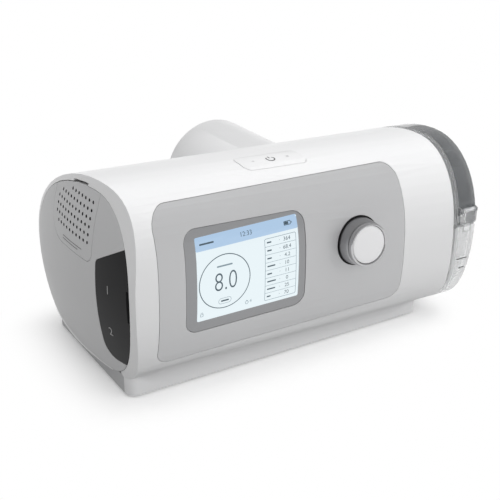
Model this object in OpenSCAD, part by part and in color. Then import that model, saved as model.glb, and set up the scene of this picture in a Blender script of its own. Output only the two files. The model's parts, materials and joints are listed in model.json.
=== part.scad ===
// Bilevel breathing machine with a water chamber at its right end.
// X runs to the right along the body, Y to the back and Z up. The modules below work in body
// coordinates: X = 0 at the rim of the left end, Y = 0 at the front of the plinth, Z = 0 at the floor.
// centred() moves them to the middle of the footprint.

/* [Body] */
// length of the white body
shell_len = 232; // [218:1:256]
// wall of every moulded shell
wall = 2.5; // [2:0.1:3]
// radius of the left cap from front to back
cap_long = 275; // [250:1:320]
// radius of the left cap from top to bottom
cap_across = 173; // [160:1:200]
// how far the left cap stands out
left_bulge = 13.5; // [10:0.5:15]
// how far the water chamber reaches past the body
chamber_reach = 28; // [24:0.5:32]
// height of the plinth
plinth_h = 13; // [10:0.5:16]
// depth of the plinth
plinth_depth = 115; // [100:1:120]

/* [Front] */
// left end of the silver fascia
fascia_x0 = 12.8; // [8:0.2:20]
// width of the white front to the right of the fascia
fascia_rest = 42.3; // [36:0.1:50]
// thickness of the fascia sheet
fascia_t = 1.2; // [0.8:0.1:1.5]
// left end of the screen lens
lens_x0 = 30; // [26:0.5:34]
// right end of the screen lens
lens_x1 = 112; // [108:0.5:116]
// backward lean of the display and the knob
panel_tilt = 5; // [0:0.5:8]
// width of the display's lit area
lit_w = 70.08; // [60:0.01:76]
// height of the display's lit area
lit_h = 52.56; // [45:0.01:57]

/* [Controls] */
// distance of the knob's middle from the right end of the body
knob_rest = 80; // [76:0.5:84]
// height of the knob's middle
knob_z = 79; // [74:0.5:84]
// radius of the knob at its front edge
knob_front_r = 13.7; // [12:0.1:15]
// radius of the knob at its foot
knob_foot_r = 14.8; // [13:0.1:15.5]
// how far the knob stands out
knob_h = 11.2; // [8:0.2:14]
// travel of the knob and the key
press = 0.8; // [0.4:0.1:1]
// length of the start key
key_len = 44.6; // [36:0.2:50]
// depth of the start key
key_depth = 19.4; // [14:0.2:22]

/* [Filter door] */
// distance between hole columns
hole_pitch_y = 4.75; // [4:0.05:4.8]
// distance between hole rows
hole_pitch_z = 4.75; // [4:0.05:4.8]
// diameter of each hole
hole_d = 2; // [1.5:0.1:2.4]

/* [Air path] */
// height of the boss's middle, where the two shells part
boss_z = 82; // [78:0.5:86]
// radius of the outlet boss
boss_r = 37.5; // [34:0.5:39]
// outer diameter of the hose port
port_d = 22; // [15:1:22]
// radius of the blower housing
blower_r = 36; // [32:0.5:37]
// number of impeller blades
blades = 11; // [7:1:13]

/* [Hidden] */
$fn = 96;
eps = 0.01;
quarter_pts = 13;
plinth_len = shell_len - 9;
fascia_x1 = shell_len - fascia_rest;
knob_x = shell_len - knob_rest;
split_z = boss_z;
front_part_y = 6.8;
rear_part_y = 104.5;
frame_x = 5.8;
frame_y = 17;
skin = 2.2;
gap = 0.3;
feet_h = 1.3;
tray_floor = 3.8;
front_y = [-23, -21.3];
front_z = [84, 62];
front_n = [2.7, 2.4];
crest_y = [24, 26];
crest_z = [132.6, 125.2];
back_y = [141, 134];
back_z = [47, 44];
back_n = 1.8;
under_z = [plinth_h, plinth_h - 2];
low_y = 10;
low_n = [2.5, 2.8];
heel_y = [105, 98];
cap_mid = [55, 65];
cap_turn = 16;
right_long = 350;
right_across = 190;
far_x = shell_len + chamber_reach + 5;
screw_x = [28, shell_len - 35];
foot_x = [14, plinth_len - 12];
chamber_x = shell_len + 0.8;
chamber_wall = 2.5;
boss_back = 140.5;
boss_wall = 2.5;
neck_r = port_d / 2 - 0.4;
recess_r = boss_r - 3.5;
recess_y = 118.5;
duct_r = 10;
duct_in = 8.5;
bend_r = 13;
bay_x = shell_len - 82;
boss_x = bay_x - bend_r;
bay_y = [2, 102];
bay_z = 16;
port_y = [32, 72];
port_z = boss_z;
heater = [60, 64];
heater_mid = [shell_len - 45, 52];
heater_rim = 3.5;
tub_x = bay_x + 4;
tub_y = [6, 98];
tub_z = 20.4;
tub_top = 69.4;
lid_z = 71.6;
lid_axis = [126.2, 70.5];
latch_axis = [-22.6, 81.4];
latch_x = [shell_len + 5, shell_len + 15.5];
blower = [bay_x - 78, 58];
duct_x0 = bay_x - 38;
blower_z = [42, 56, 70];
panel_y = -14.3;
panel_z = 78.5;
panel_x = 72;
module_size = [76.9, 3.3, 63.9];
mid_x = (shell_len + chamber_reach - left_bulge) / 2;
knob_face_y = -21.9;
front_reach = knob_face_y - knob_h * cos(panel_tilt) - (knob_front_r - 0.5) * sin(panel_tilt);
back_reach = back_y[0] - 0.17;
mid_y = (front_reach + back_reach) / 2;

// value of a pair of end sizes at the share t of the body's length
function mix(pair, t) = pair[0] + (pair[1] - pair[0]) * t;

// one quarter of a superellipse about c, from angle a0 to a1, without its last point
function quarter(c, r, n, a0, a1, s) = [for (i = [0:quarter_pts - 1])
    let (a = a0 + (a1 - a0) * i / quarter_pts)
    [c[0] + s[0] * r[0] * pow(abs(cos(a)), 2 / n), c[1] + s[1] * r[1] * pow(abs(sin(a)), 2 / n)]];

// the D section of the body at the share t, drawn in by w
function section(t, w) = let (
    fz = mix(front_z, t),
    fy = mix(front_y, t) + w,
    ty = mix(crest_y, t),
    tz = mix(crest_z, t) - w,
    by = mix(back_y, t) - w,
    bz = mix(back_z, t),
    hy = mix(heel_y, t),
    uz = mix(under_z, t) + w)
    concat(
        quarter([low_y, fz], [low_y - fy, fz - uz], mix(low_n, t), 90, 0, [-1, -1]),
        quarter([ty, fz], [ty - fy, tz - fz], mix(front_n, t), 0, 90, [-1, 1]),
        quarter([ty, bz], [by - ty, tz - bz], back_n, 90, 0, [1, 1]),
        quarter([hy, bz], [by - hy, bz - uz], 2, 0, 90, [1, -1]),
        [[hy, uz]]);

// the outline of the left cover, drawn in by w
function cover_section(w) = let (fz = 74, fy = -17.4 + w, ty = 26, tz = 126.8 - w, by = 132 - w, uz = 14.2 + w)
    concat(
        quarter([18, fz], [18 - fy, fz - uz], 2.05, 90, 0, [-1, -1]),
        quarter([ty, fz], [ty - fy, tz - fz], 2.3, 0, 90, [-1, 1]),
        quarter([ty, 47], [by - ty, tz - 47], 2, 90, 0, [1, 1]),
        quarter([104, 47], [by - 104, 42 - uz], 2, 0, 90, [1, -1]),
        [[104, uz + 5]]);

// where the left cap lies along X at y and z, at the depth d under its face
function cap_x(y, z, d) = let (
    u = cos(cap_turn) * (y - cap_mid[0]) - sin(cap_turn) * (z - cap_mid[1]),
    v = sin(cap_turn) * (y - cap_mid[0]) + cos(cap_turn) * (z - cap_mid[1]),
    r = cap_long - cap_across + sqrt(pow(cap_across - d, 2) - v * v))
    cap_long - left_bulge - sqrt(r * r - u * u);

// points of a round corner about c, from angle a0 to a1
function corner(c, r, a0, a1) = [for (i = [0:8]) let (a = a0 + (a1 - a0) * i / 8)
    [c[0] + r * cos(a), c[1] + r * sin(a)]];

module centred() {
    translate([-mid_x, -mid_y, 0])
        children();
}

// point i of the D section at x, drawn in by w; i may lie between two points
function loft_point(x, i, w) = let (
    a = section(0, w),
    b = section(1, w),
    k = floor(i),
    p = a[k] + (b[k] - a[k]) * x / shell_len,
    q = a[k + 1] + (b[k + 1] - a[k + 1]) * x / shell_len)
    p + (q - p) * (i - k);

// the D body drawn in by w, from x0 to x1; every stretch is cut from the same long form
module d_loft(x0, x1, w) {
    a = section(0, w);
    b = section(1, w);
    n = len(a);
    u = -18;
    v = far_x + 4;
    intersection() {
        polyhedron(
            points = concat(
                [for (i = [0:n - 1]) let (p = a[i] + (b[i] - a[i]) * u / shell_len) [u, p[0], p[1]]],
                [for (i = [0:n - 1]) let (p = a[i] + (b[i] - a[i]) * v / shell_len) [v, p[0], p[1]]]),
            faces = concat([[for (i = [n - 1:-1:0]) i]], [[for (i = [0:n - 1]) n + i]],
                [for (i = [0:n - 1]) [i, (i + 1) % n, n + i]],
                [for (i = [0:n - 1]) [(i + 1) % n, n + (i + 1) % n, n + i]]));
        block([x0, -60, 0], [x1, 200, 160]);
    }
}

// a box given by its low and high corners
module block(lo, hi) {
    translate(lo)
        cube(hi - lo);
}

// a shape drawn in Y and Z, made solid from x0 to x1
module along_x(x0, x1) {
    translate([x0, 0, 0])
        rotate([90, 0, 90])
            linear_extrude(height = x1 - x0)
                children();
}

// a shape drawn in X and Z, made solid from y0 to y1
module along_y(y0, y1) {
    translate([0, y1, 0])
        rotate([90, 0, 0])
            linear_extrude(height = y1 - y0)
                children();
}

// a cylinder along Y from y0 to y1, about x and z
module rod_y(x, z, r, y0, y1) {
    translate([x, y0, z])
        rotate([-90, 0, 0])
            cylinder(h = y1 - y0, r = r);
}

// a cylinder along X from x0 to x1, about y and z
module rod_x(y, z, r, x0, x1) {
    translate([x0, y, z])
        rotate([0, 90, 0])
            cylinder(h = x1 - x0, r = r);
}

// a cylinder along Z from z0 to z1, about x and y
module rod_z(x, y, r, z0, z1) {
    translate([x, y, z0])
        cylinder(h = z1 - z0, r = r);
}

// a barrel whose skin has the radius r1 about its axis and r2 along it, drawn in by d
module barrel(r1, r2, d) {
    rotate([-cap_turn, 0, 0])
        rotate_extrude()
            intersection() {
                translate([r1 - r2, 0])
                    circle(r = r2 - d);
                translate([0, -400])
                    square([400, 800]);
            }
}

module left_cap(d) {
    translate([cap_long - left_bulge, cap_mid[0], cap_mid[1]])
        barrel(cap_long, cap_across, d);
}

module right_cap(d) {
    translate([shell_len + chamber_reach - right_long, cap_mid[0], cap_mid[1]])
        barrel(right_long, right_across, d);
}

// the skin of the left cap between depths d0 and d1
module left_skin(d0, d1) {
    difference() {
        left_cap(d0);
        left_cap(d1);
    }
}

module cover_prism(w) {
    along_x(-20, frame_x + 1)
        polygon(cover_section(w));
}

module body_outer() {
    intersection() {
        union() {
            d_loft(-16, shell_len, 0);
            rod_y(boss_x, boss_z, boss_r, 60, boss_back - 2);
            translate([boss_x, boss_back - 2, boss_z])
                rotate([-90, 0, 0])
                    cylinder(h = 2, r1 = boss_r, r2 = boss_r - 1.2);
        }
        left_cap(0);
    }
}

module body_inner() {
    intersection() {
        union() {
            d_loft(-17, shell_len + 1, wall);
            rod_y(boss_x, boss_z, boss_r - boss_wall, 60, recess_y - boss_wall);
        }
        left_cap(skin);
    }
}

// the wall of the body with the sunk cup round the outlet
module body_shell() {
    difference() {
        union() {
            difference() {
                body_outer();
                body_inner();
            }
            rod_y(boss_x, boss_z, recess_r + boss_wall, recess_y - boss_wall, boss_back - 3);
        }
        rod_y(boss_x, boss_z, recess_r, recess_y, boss_back + 5);
        rod_y(boss_x, boss_z, neck_r + 0.1, recess_y - 5, recess_y + 1);
    }
}

// everything behind the seam at the left end
module frame_zone() {
    block([-30, frame_y, -5], [frame_x, 200, 160]);
}

module front_zone() {
    along_x(-30, shell_len + 2)
        polygon([[-60, -5], [front_part_y, -5], [front_part_y, split_z], [200, split_z],
            [200, 200], [-60, 200]]);
}

module rear_zone() {
    block([-30, rear_part_y, 0], [shell_len + 2, 200, split_z]);
}

function plinth_outline(d) = let (r = 6 - d / 2, x0 = 1 + d, x1 = 1 + plinth_len - d, y0 = d, y1 = plinth_depth - d)
    concat(corner([x1 - r, y1 - r], r, 0, 90), corner([x0 + r, y1 - r], r, 90, 180),
        corner([x0 + r, y0 + r], r, 180, 270), corner([x1 - r, y0 + r], r, 270, 360));

module plinth_ring() {
    difference() {
        translate([0, 0, feet_h])
            linear_extrude(height = plinth_h + 6)
                difference() {
                    polygon(plinth_outline(0));
                    polygon(plinth_outline(wall));
                }
        d_loft(-17, shell_len + 1, 0);
    }
}

// one section of the fairing at x: a hollow arc from the plinth's front to point i of the body
function fair_section(x, i) = let (
    p = loft_point(x, i, 0),
    q = loft_point(x, i + 0.5, 0) - loft_point(x, i - 0.5, 0),
    a = atan2(-q[0], q[1]),
    r = -p[0] / (1 - cos(a)))
    concat(
        [for (j = [0:6]) let (c = a * j / 6)
            [x, (j == 0 ? 0.02 : 0) - r * (1 - cos(c)), p[1] - r * (sin(a) - sin(c))]],
        [[x, p[0] + 1.2 * cos(a), p[1] + 1.2 * sin(a)],
            [x, 1.8, loft_point(x, 2, 0)[1] + 0.3],
            [x, 1.8, p[1] - r * sin(a)]]);

// the hollow curve that leads from the plinth's front up to the overhang, fading out at both ends
module fairing() {
    steps = [[3, 2.1], [6, 2.3], [9, 2.6], [12.5, 3], [17, 3.4], [22, 3.62], [28, 3.7]];
    m = len(steps);
    rows = concat(
        [for (s = steps) fair_section(s[0], s[1])],
        [for (k = [m - 1:-1:0]) fair_section(plinth_len + 2 - steps[k][0], steps[k][1])]);
    n = len(rows[0]);
    polyhedron(
        points = [for (row = rows) for (p = row) p],
        faces = concat(
            [[for (j = [n - 1:-1:0]) j]],
            [[for (j = [0:n - 1]) (2 * m - 1) * n + j]],
            [for (k = [0:2 * m - 2]) for (j = [0:n - 1])
                [k * n + j, k * n + (j + 1) % n, (k + 1) * n + j]],
            [for (k = [0:2 * m - 2]) for (j = [0:n - 1])
                [(k + 1) * n + j, k * n + (j + 1) % n, (k + 1) * n + (j + 1) % n]]));
}

function fascia_outline(d) = let (
    x0 = fascia_x0 + d,
    x1 = fascia_x1 - d,
    z0 = 27.5 + d,
    z1 = 29.3 + d,
    t0 = 124.3 - d,
    t1 = 119.7 - d,
    r = 9 - d)
    concat(corner([x1 - r, t1 - r], r, 0, 88), corner([x0 + r + 3, t0 - r - 3], r + 3, 88, 180),
        corner([x0 + r, z0 + r], r, 180, 270), corner([x1 - r, z1 + r], r, 271, 360));

function lens_outline(d) = let (
    x0 = lens_x0 + d,
    x1 = lens_x1 - d,
    z0 = 45.4 + d,
    t0 = 109.8 - d,
    t1 = 106.8 - d,
    r = 8 - d)
    concat(corner([x1 - r, t1 - r], r, 0, 88), corner([x0 + r, t0 - r], r, 88, 180),
        corner([x0 + r, z0 + r], r, 180, 270), corner([x1 - r, z0 + r], r, 270, 360));

// a slice of the front face between depths w0 and w1, cut to an outline drawn in X and Z
module front_slice(w0, w1) {
    intersection() {
        difference() {
            d_loft(4, 206, w0);
            d_loft(3, 207, w1);
        }
        along_y(-40, 10)
            children();
    }
}

// the frame that leans with the display, with its middle at the lit area's middle
module on_panel() {
    translate([panel_x, panel_y, panel_z])
        rotate([-panel_tilt, 0, 0])
            children();
}

// the knob's frame: local Z runs out of the front, from the fascia's face
module on_knob() {
    translate([knob_x, knob_face_y, knob_z])
        rotate([90 - panel_tilt, 0, 0])
            children();
}

function key_outline(d) = let (x0 = 88 + d, x1 = 88 + key_len - d, y0 = 6.6 + d, y1 = 6.6 + key_depth - d, r = 5 - d)
    concat(corner([x1 - r, y1 - r], r, 0, 90), corner([x0 + r, y1 - r], r, 90, 180),
        corner([x0 + r, y0 + r], r, 180, 270), corner([x1 - r, y0 + r], r, 270, 360));

key_mid = [88 + key_len / 2, 6.6 + key_depth / 2];

module front_shell() {
    color("white") centred() difference() {
        union() {
            difference() {
                intersection() {
                    union() {
                        body_shell();
                        fairing();
                        plinth_ring();
                    }
                    front_zone();
                }
                frame_zone();
                cover_prism(-gap);
            }
            // tunnel between the lens and the display
            difference() {
                on_panel()
                    block([-module_size[0] / 2, -8, -module_size[2] / 2],
                        [module_size[0] / 2, 0, module_size[2] / 2]);
                difference() {
                    block([0, -60, 0], [130, 60, 140]);
                    d_loft(4, 206, wall - eps);
                }
            }
            // cup for the knob
            intersection() {
                on_knob()
                    translate([0, 0, -7.7])
                        cylinder(h = 8, r = 18.7);
                d_loft(4, 206, wall / 2);
            }
            // posts for the key's board
            for (x = [key_mid[0] - 26, key_mid[0] + 26])
                intersection() {
                    rod_z(x, key_mid[1], 2.2, 112, 130);
                    d_loft(4, 206, wall / 2);
                }
            // posts for the base screws
            for (x = screw_x) {
                rod_z(x, 9.5, 4.2, tray_floor, 15.6);
                block([x - 3, 1, 13.9], [x + 3, 9.5, 15.6]);
            }
        }
        front_slice(-1, fascia_t)
            polygon(fascia_outline(-gap));
        front_slice(-1, 1.9)
            polygon(lens_outline(-gap));
        on_panel()
            block([-lit_w / 2 - 1.2, -20, -lit_h / 2 - 1.2], [lit_w / 2 + 1.2, 1, lit_h / 2 + 1.2]);
        on_knob() {
            translate([0, 0, -5.2])
                cylinder(h = 20, r = knob_foot_r + 1.4);
            translate([0, 0, -9])
                cylinder(h = 20, r = 4.6);
        }
        translate([0, 0, 110])
            linear_extrude(height = 30)
                polygon(key_outline(-gap));
        for (x = screw_x)
            rod_z(x, 9.5, 1.4, 0, 13);
    }
}

module rear_shell() {
    color("white") centred() difference() {
        union() {
            difference() {
                intersection() {
                    body_shell();
                    rear_zone();
                }
                frame_zone();
            }
            for (x = screw_x) {
                rod_z(x, 99, 4.2, tray_floor, 15.6);
                block([x - 3, 99, 13.2], [x + 3, 108, 15.6]);
            }
            // floor of the pocket round the power inlet
            intersection() {
                block([25, 115, 14], [45, 128, 35]);
                d_loft(0, 100, wall / 2);
            }
        }
        block([27, 125, 16], [43, 150, 33]);
        rod_y(35, 24.5, 5.2, 110, 130);
        for (x = screw_x)
            rod_z(x, 99, 1.4, 0, 13);
    }
}

module left_end_frame() {
    color("white") centred() {
        difference() {
            union() {
                // strip and rim behind the seam
                intersection() {
                    d_loft(-16, frame_x, 0);
                    left_cap(0);
                    block([-30, frame_y, tray_floor], [frame_x + 1, 200, 160]);
                }
                // what lies inside the front shell's rim
                intersection() {
                    d_loft(-16, frame_x, wall + 0.05);
                    left_cap(skin);
                }
            }
            // seat of the cover and the doors
            difference() {
                cover_prism(-gap);
                left_cap(skin);
            }
            // slot for a fingertip over the filter door
            intersection() {
                along_x(-20, 2)
                    polygon(cover_section(-1.6));
                block([-20, 34.7, 110], [2, 54.7, 140]);
            }
            // hollow behind the ledge, up to the bulkhead
            intersection() {
                d_loft(-17, frame_x - wall, wall + 2);
                left_cap(skin * 2);
            }
            along_x(-20, frame_x - wall)
                polygon(cover_section(4));
            frame_ways();
        }
        // pocket for the filter pad
        difference() {
            intersection() {
                left_cap(skin + 0.4);
                block([-20, 22, 88.8], [frame_x - wall, 74, 116]);
            }
            block([-20, 24, 90], [frame_x, 72, 130]);
        }
    }
}

// ways through the bulkhead, for the air and for the sockets' cables
module frame_ways() {
    block([-20, 39.6, 91.6], [frame_x + 1, 70, 106.4]);
    block([0, -8, 40], [frame_x + 1, 9.5, 80]);
}

module base_tray() {
    color("white") centred() difference() {
        union() {
            difference() {
                intersection() {
                    difference() {
                        d_loft(frame_x, shell_len, 0);
                        d_loft(frame_x - 1, shell_len + 1, wall);
                    }
                    block([-20, front_part_y, 0], [shell_len + 1, rear_part_y, 30]);
                }
                linear_extrude(height = 40)
                    polygon(plinth_outline(wall));
            }
            intersection() {
                plinth_ring();
                block([-20, front_part_y, 0], [shell_len + 1, 200, 30]);
            }
            translate([0, 0, feet_h])
                linear_extrude(height = tray_floor - feet_h)
                    polygon(plinth_outline(wall));
            for (a = [90, 210, 330])
                rod_z(blower[0] + 29 * cos(a), blower[1] + 29 * sin(a), 5, feet_h + 1, 34);
        }
        for (x = foot_x)
            for (y = [14, plinth_depth - 14])
                rod_z(x, y, 7.1, 0, feet_h + 0.5);
        for (x = screw_x)
            for (y = [9.5, 99]) {
                rod_z(x, y, 1.6, 0, 10);
                rod_z(x, y, 3.2, 0, feet_h + 1.2);
            }
    }
}

module rubber_feet() {
    color("dimgray") centred()
        for (x = foot_x)
            for (y = [14, plinth_depth - 14])
                rod_z(x, y, 7, 0, feet_h + 0.5);
}

module base_screws() {
    color("silver") centred()
        for (x = screw_x)
            for (y = [9.5, 99]) {
                rod_z(x, y, 1.4, feet_h + 0.5, 13);
                rod_z(x, y, 3, feet_h + 0.4, feet_h + 1.2);
            }
}

module fascia_panel() {
    color("silver") centred() difference() {
        front_slice(0, fascia_t)
            difference() {
                polygon(fascia_outline(0));
                polygon(lens_outline(-gap));
            }
        on_knob()
            translate([0, 0, -10])
                cylinder(h = 30, r = knob_foot_r + 1.4);
    }
}

module screen_lens() {
    color([0.06, 0.07, 0.08]) centred()
        front_slice(0.2, 1.9)
            polygon(lens_outline(0));
}

module lcd_module() {
    color([0.75, 0.85, 0.9]) centred()
        on_panel()
            block([-module_size[0] / 2, 0, -module_size[2] / 2],
                [module_size[0] / 2, module_size[1], module_size[2] / 2]);
}

module main_board() {
    color("darkgreen") centred()
        on_panel() {
            block([-46, 4.8, -34], [50, 6.4, 33]);
            for (x = [-36, 36])
                for (z = [-30, 30])
                    translate([x, 4.85, z])
                        rotate([90, 0, 0])
                            cylinder(h = 1.55, r = 2);
            block([-20, 6.4, -12], [-4, 7.6, 4]);
            block([12, 6.4, -20], [34, 9.4, -8]);
        }
}

module knob_sleeve() {
    color("lightgray") centred() on_knob() rotate_extrude()
        polygon([[3.02, 4], [3.02, -2], [5, -2], [5, 4], [12.6, 4], [knob_foot_r - 1, -3.4],
            [knob_foot_r, -3.4], [knob_foot_r - 0.6, knob_h - 3.6], [knob_foot_r - 1, knob_h - 3.2],
            [knob_front_r + 0.2, knob_h - 2.6], [knob_front_r, knob_h - 0.5],
            [knob_front_r - 0.5, knob_h], [12.6, knob_h], [12.2, knob_h - 0.5], [12.2, 6],
            [3.02, 6]]);
}

module knob_cap() {
    color("white") centred() on_knob() rotate_extrude()
        polygon([[0, 6], [12.2, 6], [12.2, knob_h - 0.9], [11.6, knob_h - 0.5], [0, knob_h - 0.3]]);
}

module knob_shaft() {
    color("silver") centred() on_knob()
        translate([0, 0, -12])
            cylinder(h = 18, r = 3);
}

module encoder_body() {
    color("darkgray") centred() on_knob() difference() {
        union() {
            translate([-6.5, -6.5, -15])
                cube([13, 13, 7.3]);
            translate([0, 0, -7.8])
                cylinder(h = 3.6, r = 4.4);
        }
        translate([0, 0, -16 + 1.6])
            cylinder(h = 2.6, r = 5);
        translate([0, 0, -13])
            cylinder(h = 20, r = 3.05);
    }
}

module encoder_plunger() {
    color("white") centred() on_knob()
        translate([0, 0, -13.2])
            cylinder(h = 1.2, r = 4.95);
}

module start_key() {
    color("white") centred() union() {
        intersection() {
            difference() {
                d_loft(60, 160, -0.3);
                d_loft(59, 161, 1.9);
            }
            translate([0, 0, 100])
                linear_extrude(height = 50)
                    polygon(key_outline(0));
        }
        intersection() {
            rod_z(key_mid[0], key_mid[1], 2.5, 118.6, 132);
            d_loft(60, 160, 1);
        }
        rod_z(key_mid[0], key_mid[1], 1.5, 114.6, 119);
    }
}

module key_switch() {
    color("dimgray") centred() difference() {
        block([key_mid[0] - 4, key_mid[1] - 4, 112], [key_mid[0] + 4, key_mid[1] + 4, 117]);
        rod_z(key_mid[0], key_mid[1], 1.55, 113.2, 120);
    }
}

module key_board() {
    color("darkgreen") centred()
        block([key_mid[0] - 29, key_mid[1] - 6, 110.4], [key_mid[0] + 29, key_mid[1] + 6, 112]);
}

function door_outline(d) = let (y0 = 18.9 + d, z0 = 85.2 + d, y1 = 80.5 - d, r = 6 - d, s = 20 - d)
    concat([[y1, 140], [y0, 140]], corner([y0 + r, z0 + r], r, 180, 270),
        corner([y1 - s, z0 + s], s, 270, 360));

function port_outline(d) = let (y1 = 13.9 - d, z0 = 26.5 + d)
    concat([[-30, 113 - d], [-30, z0 - 3], [-3, z0]],
        corner([y1 - 10 + d, z0 + 10 - d], 10 - d, 280, 360),
        corner([y1 - 4 + d, 87 + d * 0.3], 4 - d, 0, 62));

// a hook of a door, by low and high corners: its foot on the door's back, its tip behind the cover
module hook(foot_lo, foot_hi, tip_lo, tip_hi) {
    block(foot_lo, foot_hi);
    block(tip_lo, tip_hi);
}

module side_cover() {
    color("whitesmoke") centred() difference() {
        intersection() {
            left_skin(0, skin);
            cover_prism(0);
        }
        along_x(-20, 5)
            polygon(door_outline(-gap));
        along_x(-20, 5)
            polygon(port_outline(-gap));
    }
}

// a hole of the filter door in column i and row j
module door_hole(i, j, depth) {
    y = 24.4 + hole_pitch_y * i;
    z = 115.4 - hole_pitch_z * j;
    rod_x(y, z, hole_d / 2, -20, cap_x(y, z, 0) + depth);
}

module filter_door() {
    x = cap_x(45, 85.2, skin);
    color("whitesmoke") centred() union() {
        difference() {
            intersection() {
                left_skin(0, skin);
                cover_prism(0.1);
                along_x(-20, 5)
                    polygon(door_outline(0));
            }
            for (i = [0:8])
                door_hole(i, 0, 5);
            for (i = [0:9])
                for (j = [1:3])
                    door_hole(i, j, 5);
            for (i = [1:8])
                door_hole(i, 4, 5);
            for (i = [0:6])
                door_hole(i, -1, 0.7);
            for (j = [1:3])
                door_hole(10, j, 0.7);
            for (k = [[9, 0], [9, 4], [0, 4]])
                door_hole(k[0], k[1], 0.7);
        }
        // hooks behind the cover's lower edge
        for (y = [34, 52])
            hook([x - 0.8, y, 85.4], [x + 1.6, y + 5, 86.8], [x + 0.6, y, 83], [x + 1.6, y + 5, 86.8]);
    }
}

module filter_pad() {
    color("ivory") centred()
        intersection() {
            block([frame_x - wall - 5, 24.2, 90.2], [frame_x - wall, 71.8, 118.5]);
            along_x(-20, 20)
                polygon(cover_section(4.4));
            left_cap(skin + 0.5);
        }
}

module port_door() {
    color([0.1, 0.1, 0.1]) centred() union() {
        difference() {
            intersection() {
                left_skin(0, skin);
                cover_prism(0.1);
                along_x(-20, 5)
                    polygon(port_outline(0));
            }
            block([-20, -20, 60], [5, -15, 80]);
        }
        for (z = [42, 72]) {
            x = cap_x(13.9, z + 3, skin);
            hook([x - 0.6, 9.5, z], [x + 2.6, 13.7, z + 6], [x + 1, 9.5, z], [x + 2.6, 16.5, z + 6]);
        }
    }
}

module port_panel() {
    color("dimgray") centred() difference() {
        intersection() {
            block([-2, -12, 26], [frame_x - wall, 12, 92]);
            along_x(-20, 5)
                polygon(cover_section(6));
            left_cap(skin + 0.5);
        }
        block([-3, -5, 62], [frame_x, 6, 72]);
        block([-3, -5, 42], [frame_x, 9, 46]);
    }
}

module data_socket() {
    color([0.2, 0.2, 0.2]) centred() difference() {
        block([-1.4, -5, 62], [frame_x - wall, 6, 72]);
        block([-3, -3.8, 63.2], [frame_x - wall - 1.2, 4.8, 70.8]);
    }
}

module card_socket() {
    color([0.3, 0.3, 0.3]) centred() difference() {
        block([0.3, -5, 42], [frame_x - wall, 9, 46]);
        block([-3, -4, 43], [frame_x - wall - 1, 8, 45]);
    }
}

module inlet_duct() {
    color("gainsboro") centred() difference() {
        union() {
            block([frame_x, 38, 90], [blower[0] + 20, 78, 108]);
            rod_z(blower[0], blower[1], 13.6, blower_z[2], 92);
        }
        block([frame_x - 1, 39.6, 91.6], [blower[0] + 18.4, 76.4, 106.4]);
        rod_z(blower[0], blower[1], 12, blower_z[2] - 1, 95);
    }
}

module inlet_foam() {
    color("gray") centred()
        block([20, 39.6, 91.6], [54, 76.4, 94.6]);
}

module blower_lower() {
    color("silver") centred() difference() {
        union() {
            rod_z(blower[0], blower[1], blower_r, blower_z[0], blower_z[1]);
            intersection() {
                rod_x(port_y[0], blower_z[1], duct_r, blower[0], duct_x0);
                block([0, 0, 0], [200, 200, blower_z[1]]);
            }
        }
        rod_z(blower[0], blower[1], blower_r - 2, blower_z[0] + 2, blower_z[1] + 1);
        rod_x(port_y[0], blower_z[1], duct_in, blower[0], duct_x0 + 1);
        rod_z(blower[0], blower[1], 2.05, blower_z[0] - 1, blower_z[1]);
    }
}

module blower_upper() {
    color("silver") centred() difference() {
        union() {
            rod_z(blower[0], blower[1], blower_r, blower_z[1], blower_z[2]);
            intersection() {
                rod_x(port_y[0], blower_z[1], duct_r, blower[0], duct_x0);
                block([0, 0, blower_z[1]], [200, 200, 100]);
            }
        }
        rod_z(blower[0], blower[1], blower_r - 2, blower_z[1] - 1, blower_z[2] - 2);
        rod_x(port_y[0], blower_z[1], duct_in, blower[0], duct_x0 + 1);
        rod_z(blower[0], blower[1], 12, blower_z[1], blower_z[2] + 1);
    }
}

// one swept blade, drawn flat
module blade() {
    intersection() {
        difference() {
            translate([10, -14])
                circle(r = 20);
            translate([10, -14])
                circle(r = 18.8);
        }
        difference() {
            circle(r = 29);
            circle(r = 12);
        }
        square([40, 40]);
    }
}

module impeller() {
    color("white") centred() translate([blower[0], blower[1], 0]) union() {
        rotate_extrude()
            polygon([[2.03, 46], [30, 46], [30, 47.4], [9, 49], [6, 60], [2.03, 60]]);
        translate([0, 0, 47])
            linear_extrude(height = 11)
                for (i = [0:blades - 1])
                    rotate(i * 360 / blades)
                        blade();
    }
}

module motor_shaft() {
    color("silver") centred()
        rod_z(blower[0], blower[1], 2, 26, 60);
}

module motor_case() {
    color("dimgray") centred() difference() {
        rod_z(blower[0], blower[1], 18, 24, blower_z[0]);
        rod_z(blower[0], blower[1], 15, 28, blower_z[0] - 2);
        rod_z(blower[0], blower[1], 2.05, 25.5, 50);
    }
}

module blower_mounts() {
    color("black") centred()
        for (a = [90, 210, 330])
            rod_z(blower[0] + 29 * cos(a), blower[1] + 29 * sin(a), 4.5, 34, blower_z[0]);
}

// the cut face of a duct, or of a flange when more is over zero
module duct_ring(more) {
    difference() {
        circle(r = duct_r + more);
        circle(r = duct_in);
    }
}

// a quarter bend of duct about Z, from angle a0 on
module bend(a0) {
    rotate([0, 0, a0])
        rotate_extrude(angle = 90)
            translate([bend_r, 0])
                duct_ring(0);
}

// a straight stretch of duct along X or Y
module duct_x(y, z, x0, x1, more) {
    translate([x0, y, z])
        rotate([0, 90, 0])
            linear_extrude(height = x1 - x0)
                duct_ring(more);
}

module duct_y(x, z, y0, y1, more) {
    translate([x, y1, z])
        rotate([90, 0, 0])
            linear_extrude(height = y1 - y0)
                duct_ring(more);
}

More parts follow.
